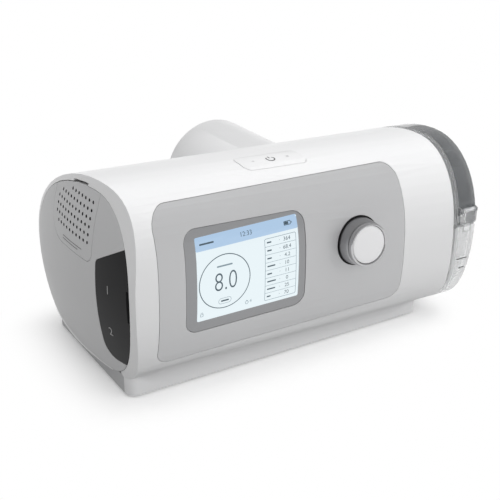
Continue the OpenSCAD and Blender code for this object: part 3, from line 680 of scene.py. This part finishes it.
@dataclass
class Artwork:
    """Flat shapes drawn in millimetres round their own middle, and then laid onto a skin."""

    name: str
    skin: bpy.types.Object
    body: str
    facing: Facing
    middle: Vector
    shapes: dict[Finish, list[bpy.types.Object]] = field(default_factory=dict)
    first_lift: float = 0.09
    lift: float = 0.04
    strip: float = 2.0
    stretch: float = 3.0
    corner_steps: int = 6
    missed_by: float = 0.1

    def keep(self, finish: Finish) -> None:
        """Files the active object under its finish."""
        if bpy.context.object.mode != "OBJECT":
            bpy.ops.object.mode_set(mode="OBJECT")
        self.shapes.setdefault(finish, []).append(bpy.context.object)

    def plate(
        self, finish: Finish, u: float, v: float, width: float, height: float, corner: float = 0.0,
        line: float = 0.0,
    ) -> None:
        """Draws a rectangle.

        Args:
            finish: What it is printed in.
            u: Place of its middle to the right.
            v: Place of its middle upwards.
            width: Its width.
            height: Its height.
            corner: Radius of its corners.
            line: Width of its outline, or nought where it is filled.
        """
        pick_nothing()
        bpy.ops.mesh.primitive_plane_add(size=1)
        edit_all()
        bpy.ops.transform.resize(value=(width * MM, height * MM, 1), center_override=(0, 0, 0))
        bpy.ops.transform.translate(value=(u * MM, v * MM, 0))
        if corner:
            bpy.ops.mesh.bevel(
                offset=corner * MM, segments=self.corner_steps, affect="VERTICES", clamp_overlap=True
            )
            bpy.ops.mesh.select_all(action="SELECT")
        if line:
            bpy.ops.mesh.inset(thickness=line * MM, depth=0)
            bpy.ops.mesh.delete(type="FACE")
        self.keep(finish)

    def ring(
        self, finish: Finish, u: float, v: float, radius: float, line: float,
        arc: tuple[float, float] = (0, 360), sides: int = 96,
    ) -> None:
        """Draws a ring or a part of one.

        Args:
            finish: What it is printed in.
            u: Place of its middle to the right.
            v: Place of its middle upwards.
            radius: Radius of the middle of its line.
            line: Width of its line.
            arc: The degrees, counted from the right against the clock, between which it is drawn.
            sides: Points round the whole ring.
        """
        pick_nothing()
        outer = radius + line / 2
        bpy.ops.mesh.primitive_circle_add(vertices=sides, radius=outer * MM)
        piece = bpy.context.object
        first, last = arc
        if last - first < 360:
            bpy.ops.object.mode_set(mode="EDIT")
            bpy.ops.mesh.select_all(action="DESELECT")
            bpy.ops.object.mode_set(mode="OBJECT")
            for point in piece.data.vertices:
                turn = math.degrees(math.atan2(point.co.y, point.co.x)) - first
                point.select = turn % 360 > last - first
            bpy.ops.object.mode_set(mode="EDIT")
            bpy.ops.mesh.delete(type="VERT")
        edit_all()
        share = (radius - line / 2) / outer
        bpy.ops.mesh.extrude_region_move(TRANSFORM_OT_translate={"value": (0, 0, 0)})
        bpy.ops.transform.resize(value=(share, share, 1), center_override=(0, 0, 0))
        bpy.ops.mesh.select_all(action="SELECT")
        bpy.ops.transform.translate(value=(u * MM, v * MM, 0))
        bpy.ops.mesh.normals_make_consistent(inside=False)
        self.keep(finish)

    def spot(
        self, finish: Finish, u: float, v: float, radius: float, sides: int = 24, turn: float = 0.0
    ) -> None:
        """Draws a filled disc, or a regular shape of a few sides.

        Args:
            finish: What it is printed in.
            u: Place of its middle to the right.
            v: Place of its middle upwards.
            radius: Its radius, up to its points.
            sides: Its sides.
            turn: How far it is turned, in degrees.
        """
        pick_nothing()
        bpy.ops.mesh.primitive_circle_add(vertices=sides, radius=radius * MM, fill_type="NGON")
        edit_all()
        if turn:
            angle = math.radians(turn)
            bpy.ops.transform.rotate(value=angle, orient_axis="Z", center_override=(0, 0, 0))
        bpy.ops.transform.translate(value=(u * MM, v * MM, 0))
        self.keep(finish)

    def number(
        self, finish: Finish, figures: str, u: float, v: float, height: float,
        thinner: float = 0.0, width: float = 0.0,
    ) -> None:
        """Draws plain figures round a middle.

        Args:
            finish: What they are printed in.
            figures: The figures.
            u: Place of their middle to the right.
            v: Place of their middle upwards.
            height: Height of a figure.
            thinner: How much thinner the strokes are than the plain font's, as a share of the height.
            width: Width of all figures together, or nought for the font's own.
        """
        pick_nothing()
        bpy.ops.object.text_add()
        text = bpy.context.object
        text.data.body = figures
        text.data.size = 1.0
        text.data.align_x = "CENTER"
        text.data.align_y = "CENTER"
        text.data.offset = -thinner
        text.data.resolution_u = 4
        bpy.ops.object.convert(target="MESH")
        piece = bpy.context.object
        share = height * MM / piece.dimensions.y
        across = width * MM / piece.dimensions.x if width else share
        edit_all()
        corners = [Vector(c) for c in piece.bound_box]
        middle = (corners[0] + corners[6]) / 2
        bpy.ops.transform.translate(value=-middle)
        bpy.ops.transform.resize(value=(across, share, 1), center_override=(0, 0, 0))
        bpy.ops.transform.translate(value=(u * MM, v * MM, 0))
        self.keep(finish)

    def cut_up(self, piece: bpy.types.Object) -> None:
        """Cuts a drawing into small patches, so that it can follow a curved skin."""
        for direction, step in ((Vector((0, 1, 0)), self.strip), (Vector((1, 0, 0)), self.stretch)):
            reaches = [point.co.dot(direction) for point in piece.data.vertices]
            first = math.floor(min(reaches) / (step * MM)) + 1
            last = math.ceil(max(reaches) / (step * MM))
            bpy.ops.object.mode_set(mode="EDIT")
            for number in range(first, last):
                cut(direction * (number * step * MM), direction)
            bpy.ops.object.mode_set(mode="OBJECT")

    def wrap(self, piece: bpy.types.Object, layer: int) -> None:
        """Lays a drawing onto the skin along the facing's axis.

        Args:
            piece: The drawing, in front of the skin.
            layer: How many other drawings lie under it.
        """
        axis = self.facing.value[1]
        along = "XYZ".index(axis)
        wrap = piece.modifiers.new("lay_on", "SHRINKWRAP")
        wrap.target = self.skin
        wrap.wrap_method = "PROJECT"
        wrap.wrap_mode = "ABOVE_SURFACE"
        wrap.offset = (self.first_lift + layer * self.lift) * MM
        wrap.use_negative_direction = True
        wrap.use_positive_direction = True
        setattr(wrap, f"use_project_{axis.lower()}", True)
        apply_all(piece)
        moved = [abs(point.co[along] - self.middle[along]) for point in piece.data.vertices]
        if min(moved) < self.missed_by * MM:
            log.warning("%s: some points lie beside the skin", piece.name)

    def lay(self) -> list[bpy.types.Object]:
        """Joins the shapes of each finish, cuts them up and lays them onto the skin.

        Returns:
            One piece for each finish.
        """
        made = []
        for layer, (finish, shapes) in enumerate(self.shapes.items()):
            pick(shapes[0])
            for shape in shapes:
                shape.select_set(True)
            if len(shapes) > 1:
                bpy.ops.object.join()
            piece = bpy.context.object
            self.cut_up(piece)
            piece.rotation_euler = [math.radians(angle) for angle in self.facing.value[0]]
            piece.location = self.middle
            settle(piece, f"{self.name}_{finish.name}")
            self.wrap(piece, layer)
            Paint.on(piece, finish)
            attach(piece, self.body)
            made.append(piece)
        return made


@dataclass
class Housing:
    """The white shells and the plinth, whose darker white is painted shade."""

    shells: tuple[str, ...] = ("front_shell", "rear_shell", "left_end_frame", "outlet_port")

    def build(self) -> list[bpy.types.Object]:
        """Makes the skins of the shells and of the plinth."""
        skins = [skin_of(node, WHITE) for node in self.shells]
        # The plinth's darker white is painted shade.
        return [*skins, skin_of("base_tray", PLINTH_PAINTED_SHADE)]


@dataclass
class FrontPanel:
    """The silver fascia, the cover over the display and what the display shows.

    Places on the page are to the right of its middle and upwards. Bars stand for words.
    """

    lit_size: tuple[float, float] = (70.08, 52.56)
    lit_middle: tuple[float, float, float] = (72, -40, 78.5)
    header: float = 8.1
    bar: float = 1.0
    bar_round: float = 0.45
    time_place: tuple[float, float] = (-0.9, 22.28)
    title_place: tuple[float, float] = (-27.6, 21.98)
    battery_place: tuple[float, float] = (28.0, 22.38)
    lock_place: tuple[float, float] = (-32.0, -22.4)
    drop_place: tuple[float, float] = (-1.6, -21.5)
    fine_line: float = 0.3
    small_round: float = 0.3
    dial: tuple[float, float] = (-16.7, -3.7)
    dial_radius: float = 17.0
    table: tuple[float, float] = (22.0, -3.9)
    table_size: tuple[float, float] = (22.4, 40.2)
    table_bar: float = 0.9
    values: tuple[str, ...] = ("364", "68.4", "4.2", "10", "11", "0", "25", "70")
    names: tuple[float, ...] = (3.2, 3.2, 3.2, 5.6, 3.4, 6.2, 5.8, 2.8)

    def build(self) -> list[bpy.types.Object]:
        """Makes the fascia, the printed cover and the page."""
        fascia = skin_of("fascia_panel", SILVER)
        lens = skin_of("screen_lens", LENS_PRINT)
        page = Artwork("display", lens, body_of("screen_lens"), Facing.FRONT, place(*self.lit_middle))
        self.draw_page(page)
        self.draw_signs(page)
        self.draw_dial(page)
        self.draw_table(page)
        return [fascia, lens, *page.lay()]

    def draw_page(self, page: Artwork) -> None:
        """Draws the lit page and its header, with the time, a title bar and the battery.

        Args:
            page: The artwork that is drawn on.
        """
        width, height = self.lit_size
        page.plate(PAGE, 0, 0, width, height, 1.1)
        page.plate(HEADER, 0, (height - self.header) / 2, width, self.header, 0.9)
        page.number(INK, "12:33", *self.time_place, 2.7)
        page.plate(INK, *self.title_place, 9.6, self.bar, self.bar_round)
        u, v = self.battery_place
        page.plate(INK, u, v, 5.0, 2.4, 0.5, 0.4)
        page.plate(INK, u - 0.6, v, 2.8, 1.4)
        page.plate(INK, u + 3.0, v, 0.5, 1.0)

    def draw_signs(self, page: Artwork) -> None:
        """Draws the padlock, and the drop with its figure.

        Args:
            page: The artwork that is drawn on.
        """
        u, v = self.lock_place
        page.plate(PALE_INK, u, v, 2.0, 1.8, self.small_round, self.fine_line)
        page.ring(PALE_INK, u, v + 1.1, 0.75, self.fine_line, (0, 180), 24)
        u, v = self.drop_place
        page.ring(PALE_INK, u, v, 1.0, self.fine_line, sides=24)
        page.spot(PALE_INK, u, v + 1.2, 0.6, 3, 90)
        page.number(PALE_INK, "4", u + 2.6, v + 0.5, 2.0)

    def draw_dial(self, page: Artwork) -> None:
        """Draws the ring with the large figures in it.

        Args:
            page: The artwork that is drawn on.
        """
        u, v = self.dial
        page.ring(INK, u, v, self.dial_radius, 0.55)
        page.number(INK, "8.0", u + 0.7, v + 0.4, 11.4, 0.014, 14.8)
        page.plate(PALE_INK, u, v + 10.2, 10.5, self.bar, self.bar_round)
        page.plate(PALE_INK, u, v - 12.4, 8.6, 3.8, 1.7, 0.25)
        page.plate(INK, u, v - 12.4, 5.4, self.bar, self.bar_round)

    def draw_table(self, page: Artwork) -> None:
        """Draws the table of values beside the dial.

        Args:
            page: The artwork that is drawn on.
        """
        u, v = self.table
        width, height = self.table_size
        row = height / len(self.values)
        page.plate(PALE_INK, u, v, width, height, 1.0, self.fine_line)
        for number, (value, name) in enumerate(zip(self.values, self.names)):
            middle = v + height / 2 - (number + 0.5) * row
            if number:
                page.plate(PALE_INK, u, middle + row / 2, width - 0.4, 0.22)
            left = u - width / 2 + 1.6
            page.plate(INK, left + name / 2, middle, name, self.table_bar, self.small_round)
            page.number(INK, value, u + 4.6, middle, 2.4)
            page.spot(INK, u - 0.6, middle, 0.22, 8)


@dataclass
class Knob:
    """The turn-and-press knob: flank, polished ring and white face, with black rings of painted shade in
    its groove, round its face and round its foot.

    A profile is radius and height over the foot, in millimetres.
    """

    foot: tuple[float, float, float] = (152, -21.9, 79)
    tilt: float = 85
    flank: Profile = (
        (13.0, -3.3), (14.6, -3.3), (14.75, -3.1), (14.8, -1.6), (15.2, -1.4), (15.3, -1.1), (14.9, 3.2),
        (14.3, 7.1), (14.15, 7.35), (13.9, 7.5), (13.0, 7.5), (13.0, -3.3),
    )
    # A black ring in the groove: painted shade.
    groove_shadow: Profile = ((13.0, 7.5), (13.55, 7.5), (13.55, 7.95), (13.0, 7.95), (13.0, 7.5))
    rim: Profile = (
        (12.3, 7.95), (13.7, 7.95), (13.85, 8.05), (13.9, 8.25), (13.72, 10.5), (13.6, 10.8),
        (13.35, 11.0), (13.0, 11.12), (12.7, 11.1), (12.45, 10.95), (12.3, 10.7), (12.3, 7.95),
    )
    # A black ring round the face: painted shade in the gap.
    face_gap_shadow: Profile = ((11.9, 9.0), (12.3, 9.0), (12.3, 9.9), (11.9, 9.9), (11.9, 9.0))
    face: Profile = (
        (0, 9.4), (12.0, 9.4), (12.05, 10.3), (11.97, 10.5), (11.75, 10.66), (11.4, 10.74), (8, 10.84),
        (4, 10.9), (0, 10.92),
    )
    # A black ring round the foot: painted shade in the gap between knob and fascia.
    well_shadow: Profile = (
        (15.0, -3.3), (16.15, -3.3), (16.15, -0.9), (15.5, -0.9), (15.5, -2.7), (15.0, -2.7),
        (15.0, -3.3),
    )
    arc_radius: float = 21.6
    arc_line: float = 0.28
    arcs: tuple[tuple[float, float], ...] = ((62, 118), (150, 172), (196, 226))
    dot_radius: float = 23.6
    dots: tuple[float, ...] = (181, 186, 191)

    def part(self, name: str, profile: Profile, finish: Finish, node: str) -> bpy.types.Object:
        """Turns one ring of the knob and puts it in place.

        Args:
            name: The piece's name.
            profile: Its profile.
            finish: What it is finished in.
            node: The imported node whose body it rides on.

        Returns:
            The piece.
        """
        piece = turned(name, profile)
        piece.rotation_euler = (math.radians(self.tilt), 0, 0)
        piece.location = place(*self.foot)
        settle(piece, name)
        smooth(piece, 40)
        Paint.on(piece, finish)
        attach(piece, body_of(node))
        return piece

    def build(self) -> list[bpy.types.Object]:
        """Makes the knob's own pieces and the black ring of painted shade round its foot."""
        flank = self.part("knob_flank", self.flank, SATIN, "knob_sleeve")
        # The black groove, face gap and well rings are painted shade.
        groove_shadow = self.part("knob_groove_shadow", self.groove_shadow, BLACK, "knob_sleeve")
        rim = self.part("knob_rim", self.rim, BRIGHT, "knob_sleeve")
        gap_shadow = self.part("knob_face_gap_shadow", self.face_gap_shadow, BLACK, "knob_sleeve")
        face = self.part("knob_face", self.face, CAP, "knob_cap")
        well_shadow = self.part("knob_well_shadow", self.well_shadow, BLACK, "fascia_panel")
        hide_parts("knob_sleeve")
        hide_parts("knob_cap")
        return [flank, groove_shadow, rim, gap_shadow, face, well_shadow]

    def marks(self, fascia: bpy.types.Object) -> list[bpy.types.Object]:
        """Lays the faint arcs and dots round the knob onto the fascia.

        Args:
            fascia: The skin of the fascia.

        Returns:
            The print.
        """
        middle = place(self.foot[0], -40, self.foot[2])
        marks = Artwork("knob_marks", fascia, body_of("fascia_panel"), Facing.FRONT, middle, strip=4)
        for arc in self.arcs:
            marks.ring(FAINT_PRINT, 0, 0, self.arc_radius, self.arc_line, arc)
        for turn in map(math.radians, self.dots):
            reach, height = self.dot_radius * math.cos(turn), self.dot_radius * math.sin(turn)
            marks.spot(FAINT_PRINT, reach, height, 0.3, 10)
        return marks.lay()


@dataclass
class StartKey:
    """The key on the top, with the signs for power, start and stop."""

    edge: float = 0.3
    middle: tuple[float, float] = (110.3, 16.3)
    power_radius: float = 2.7
    power_line: float = 0.75
    sign_reach: float = 12.4
    start_radius: float = 1.15
    stop_side: float = 1.8
    sign_round: float = 0.2

    def build(self) -> list[bpy.types.Object]:
        """Makes the key and prints its signs."""
        key = skin_of("start_key", WHITE, self.edge)
        middle = place(*self.middle, 160)
        signs = Artwork("key_signs", key, body_of("start_key"), Facing.TOP, middle, strip=1.2)
        radius, line = self.power_radius, self.power_line
        signs.ring(PRINT, 0, 0, radius, line, (130, 410))
        signs.plate(PRINT, 0, radius * 0.85, line, radius, self.sign_round)
        signs.spot(FAINT_PRINT, -self.sign_reach, 0, self.start_radius, 3, -90)
        side = self.stop_side
        signs.plate(FAINT_PRINT, self.sign_reach, 0, side, side, self.sign_round)
        return [key, *signs.lay()]


@dataclass
class LeftEnd:
    """The cover and the doors at the left end. The cover and the filter door take a darker copy of the
    white plastic, which is painted shade.

    Places are millimetres behind the plinth's front and over the table.
    """

    figures: tuple[tuple[str, float, float], ...] = (("1", 1.5, 75.0), ("2", 3.0, 47.5))
    figure_height: float = 5.2
    lines_middle: tuple[float, float] = (45.5, 89.2)
    lines: tuple[tuple[float, float, float], ...] = ((1.5, 1.0, 27), (-1.0, -0.8, 22))
    line_width: float = 0.4
    door_rim: float = 2.5
    wall_turn: float = 0.6

    def build(self) -> list[bpy.types.Object]:
        """Makes the cover and both doors."""
        # The cover and the filter door are given a darker white as painted shade.
        cover = skin_of("side_cover", END_PAINTED_SHADE)
        door = skin_of("filter_door", END_PAINTED_SHADE)
        self.paint_shade_in_holes(door)
        port = skin_of("port_door", BLACK)
        return [cover, door, port, *self.number_ports(port), *self.underline(door)]

    def paint_shade_in_holes(self, door: bpy.types.Object) -> None:
        """Paints shade onto the walls of the door's holes: a dark finish stands in for the shade inside
        them.

        Args:
            door: The skin of the filter door.
        """
        low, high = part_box("filter_door")
        rim = Vector((0, self.door_rim, self.door_rim)) * MM
        low, high = low + rim, high - rim
        shaded_walls = []
        for face in door.data.polygons:
            middle = face.center
            inside = low.y < middle.y < high.y and low.z < middle.z < high.z
            if inside and abs(face.normal.x) < self.wall_turn:
                shaded_walls.append(face.index)
        Paint.also(door, HOLE_SHADE, shaded_walls)

    def number_ports(self, port: bpy.types.Object) -> list[bpy.types.Object]:
        """Prints the plain numbers of the two sockets onto their door.

        Args:
            port: The skin of the port door.

        Returns:
            The print.
        """
        _, first_y, first_z = self.figures[0]
        middle = place(-60, first_y, first_z)
        numbers = Artwork("port_figures", port, body_of("port_door"), Facing.LEFT, middle, strip=2)
        for figure, y, z in self.figures:
            numbers.number(DOOR_PRINT, figure, first_y - y, z - first_z, self.figure_height)
        return numbers.lay()

    def underline(self, door: bpy.types.Object) -> list[bpy.types.Object]:
        """Prints two fine lines under the holes of the filter door.

        Args:
            door: The skin of the filter door.

        Returns:
            The print.
        """
        middle = place(-60, *self.lines_middle)
        lines = Artwork("door_lines", door, body_of("filter_door"), Facing.LEFT, middle, strip=3)
        for u, v, length in self.lines:
            lines.plate(PRINT, u, v, length, self.line_width, 0.18)
        return lines.lay()


@dataclass
class WaterChamber:
    """The clear chamber at the right end."""

    edge: float = 0.3
    rim_x: float = 236.6
    marks: tuple[tuple[float, float, float], ...] = ((242.4, 45.6, 9.0), (243.4, 38.4, 5.0))
    mark_line: float = 0.7
    mark_round: float = 0.3

    def build(self) -> list[bpy.types.Object]:
        """Makes the tub, the cover, the latch and the lid, and the level marks."""
        tub = skin_of("chamber_tub", CLEAR)
        cover = skin_of("chamber_cover", CLEAR)
        latch = skin_of("chamber_latch", CLEAR, self.edge)
        lid = skin_of("chamber_lid", SMOKE)
        for piece in (lid, tub):
            self.frost_rim(piece)
        return [tub, cover, latch, lid, *self.mark_levels(tub)]

    def frost_rim(self, piece: bpy.types.Object) -> None:
        """Frosts the rim that stands next to the body.

        Args:
            piece: The skin of the lid or the tub.
        """
        edge = place(self.rim_x, 0, 0)
        pick(piece)
        bpy.ops.object.mode_set(mode="EDIT")
        cut(edge, (1, 0, 0))
        bpy.ops.object.mode_set(mode="OBJECT")
        rim = [face.index for face in piece.data.polygons if face.center.x < edge.x]
        Paint.also(piece, FROSTED, rim)

    def mark_levels(self, tub: bpy.types.Object) -> list[bpy.types.Object]:
        """Prints the two level marks onto the front of the tub.

        Args:
            tub: The skin of the tub.

        Returns:
            The print.
        """
        first_x, first_z, _ = self.marks[0]
        middle = place(first_x, -60, first_z)
        levels = Artwork("level_marks", tub, body_of("chamber_tub"), Facing.FRONT, middle)
        for x, z, width in self.marks:
            levels.plate(MARK_PRINT, x - first_x, z - first_z, width, self.mark_line, self.mark_round)
        return levels.lay()


@dataclass
class Insides:
    """What the closed housing holds, finished but not remodelled."""

    finishes: dict[Finish, tuple[str, ...]] = field(
        default_factory=lambda: {
            RUBBER: ("rubber_feet", "blower_mounts", "port_seals", "outlet_seal"),
            STEEL: (
                "base_screws", "knob_shaft", "motor_shaft", "motor_case", "chamber_base", "lid_pin",
                "latch_pin",
            ),
            PAGE: ("lcd_module",),
            BOARD: ("main_board", "key_board"),
            DARK: (
                "encoder_body", "encoder_plunger", "key_switch", "port_panel", "data_socket",
                "card_socket", "dc_inlet",
            ),
            FLEECE: ("filter_pad",),
            DUCT: (
                "inlet_duct", "blower_lower", "blower_upper", "impeller", "air_duct", "outlet_duct",
                "humidifier_bay",
            ),
            FOAM: ("inlet_foam", "heater_pad"),
            ALUMINIUM: ("heater_plate",),
            SEAL: ("lid_seal",),
        }
    )

    def build(self) -> list[bpy.types.Object]:
        """Gives each inner node its finish."""
        for finish, nodes in self.finishes.items():
            for node in nodes:
                Paint.on(frame["nodes"][node], finish)
        return []


@dataclass(frozen=True)
class Lamp:
    """A soft square lamp. Its place and side are in metres."""

    name: str
    spot: tuple[float, float, float]
    side: float
    watts: float

    def hang(self, aim: Vector) -> None:
        """Adds the lamp and turns it to what it lights.

        Args:
            aim: The point that it lights.
        """
        pick_nothing()
        bpy.ops.object.light_add(type="AREA", location=self.spot)
        lamp = bpy.context.object
        lamp.name = self.name
        lamp.data.size = self.side
        lamp.data.energy = self.watts
        lamp.visible_glossy = False
        lamp.rotation_euler = (aim - Vector(self.spot)).to_track_quat("-Z", "Y").to_euler()


@dataclass
class Studio:
    """Floor, world, lamps and camera, in metres."""

    camera_place: tuple[float, float, float] = (-0.32175, -0.52351, 0.3195)
    camera_turn: tuple[float, float, float] = (66.39, 0.0, -31.16)
    lens: float = 70.63
    sensor: float = 36.0
    lamps: tuple[Lamp, ...] = (
        Lamp("overhead", (0.12, 0.12, 0.9), 1.1, 4.3),
        Lamp("front_right", (0.65, -0.75, 0.45), 0.7, 2.4),
        Lamp("front_left", (-0.25, -1.0, 0.5), 0.6, 2.1),
    )
    aim: tuple[float, float, float] = (0, 0, 0.05)
    world_strength: float = 0.62
    world_lean: float = 0.16
    mirrored_share: float = 0.75
    floor_side: float = 12
    floor_colour: float = 0.88
    floor_bounce: float = 0.34
    floor_glow: float = 0.22
    plinth_middle: tuple[float, float] = (-0.011, 0.004)
    plinth_half: tuple[float, float] = (0.112, 0.0575)
    white_from: float = -0.002
    white_to: float = 0.045

    def build(self) -> None:
        """Sets the whole studio up."""
        self.floor()
        self.world()
        for lamp in self.lamps:
            lamp.hang(Vector(self.aim))
        self.camera()
        bpy.context.scene.view_settings.view_transform = "Standard"

    def away_from_plinth(self, sheet: ShaderSheet) -> Wire:
        """How far a point of the floor lies outside the plinth's rectangle.

        Args:
            sheet: The floor's sheet.

        Returns:
            The distance in metres.
        """
        reach = sheet.node("ShaderNodeTexCoord", output="Object")
        middle, half = (*self.plinth_middle, 0), (*self.plinth_half, 0)
        steps = (("SUBTRACT", middle), ("ABSOLUTE",), ("SUBTRACT", half), ("MAXIMUM", (0, 0, 0)))
        for operation, *value in steps:
            inputs = dict(enumerate((reach, *value)))
            reach = sheet.node("ShaderNodeVectorMath", {"operation": operation}, inputs)
        return sheet.node("ShaderNodeVectorMath", {"operation": "LENGTH"}, {0: reach}, "Value")

    def floor(self) -> None:
        """Makes the pale floor, which looks pure white away from the machine."""
        pick_nothing()
        bpy.ops.mesh.primitive_plane_add(size=self.floor_side, location=(0, 0, 0))
        floor = settle(bpy.context.object, "floor")
        sheet = ShaderSheet.of_material("floor_white")
        seen = sheet.seen_by("Is Camera Ray", "Is Transmission Ray", "Is Glossy Ray")
        away = self.away_from_plinth(sheet)
        fade = sheet.node(
            "ShaderNodeMapRange", {"interpolation_type": "SMOOTHSTEP"},
            {"Value": away, "From Min": self.white_from, "From Max": self.white_to},
        )
        shares = (self.floor_bounce, self.floor_colour, self.floor_glow)
        bounce, colour, glow = ((share,) * 3 for share in shares)
        near = sheet.node(
            "ShaderNodeBsdfPrincipled",
            inputs={
                "Base Color": sheet.blend(seen, bounce, colour),
                "Roughness": 0.9,
                "Specular IOR Level": 0.0,
                "Emission Color": sheet.blend(seen, (0, 0, 0), glow),
                "Emission Strength": 1.0,
            },
        )
        white = sheet.node("ShaderNodeEmission", inputs={"Color": (1, 1, 1, 1), "Strength": 1.0})
        mixed = sheet.node("ShaderNodeMixShader", inputs={0: seen * fade, 1: near, 2: white})
        floor.data.materials.append(sheet.finish(mixed))

    def world(self) -> None:
        """Lights the world softly and shows it white to the camera and through clear pieces."""
        world = bpy.data.worlds.new("studio")
        bpy.context.scene.world = world
        sheet = ShaderSheet(world)
        way = sheet.node("ShaderNodeTexCoord", output="Generated")
        to_right = sheet.node("ShaderNodeSeparateXYZ", inputs={0: way}, output="X")
        leaning = to_right * (self.world_strength * self.world_lean) + self.world_strength
        dimmed = sheet.seen_by("Is Glossy Ray") * (self.mirrored_share - 1) + 1.0
        white = (1, 1, 1, 1)
        soft = sheet.node("ShaderNodeBackground", inputs={"Color": white, "Strength": leaning * dimmed})
        pale = sheet.node("ShaderNodeBackground", inputs={"Color": white, "Strength": 1.0})
        seen = sheet.seen_by("Is Camera Ray", "Is Transmission Ray")
        mixed = sheet.node("ShaderNodeMixShader", inputs={0: seen, 1: soft, 2: pale})
        sheet.finish(mixed, "ShaderNodeOutputWorld")

    def camera(self) -> None:
        """Places the camera where the photograph was taken from."""
        pick_nothing()
        turn = tuple(math.radians(angle) for angle in self.camera_turn)
        bpy.ops.object.camera_add(location=self.camera_place, rotation=turn)
        camera = bpy.context.object
        camera.data.lens = self.lens
        camera.data.sensor_width = self.sensor
        bpy.context.scene.camera = camera


def main() -> None:
    """Builds the machine's looks, one sub-assembly after another."""
    logging.basicConfig(level=logging.INFO, format="%(message)s")
    knob = Knob()
    made = {"Housing": Housing().build(), "FrontPanel": FrontPanel().build()}
    fascia = made["FrontPanel"][0]
    made["Knob"] = [*knob.build(), *knob.marks(fascia)]
    for assembly in (StartKey(), LeftEnd(), WaterChamber(), Insides()):
        made[type(assembly).__name__] = assembly.build()
    for name, pieces in made.items():
        for piece in pieces:
            log.info("%s: %s, %d faces", name, piece.name, len(piece.data.polygons))
    Studio().build()


if __name__ == "__main__":
    main()
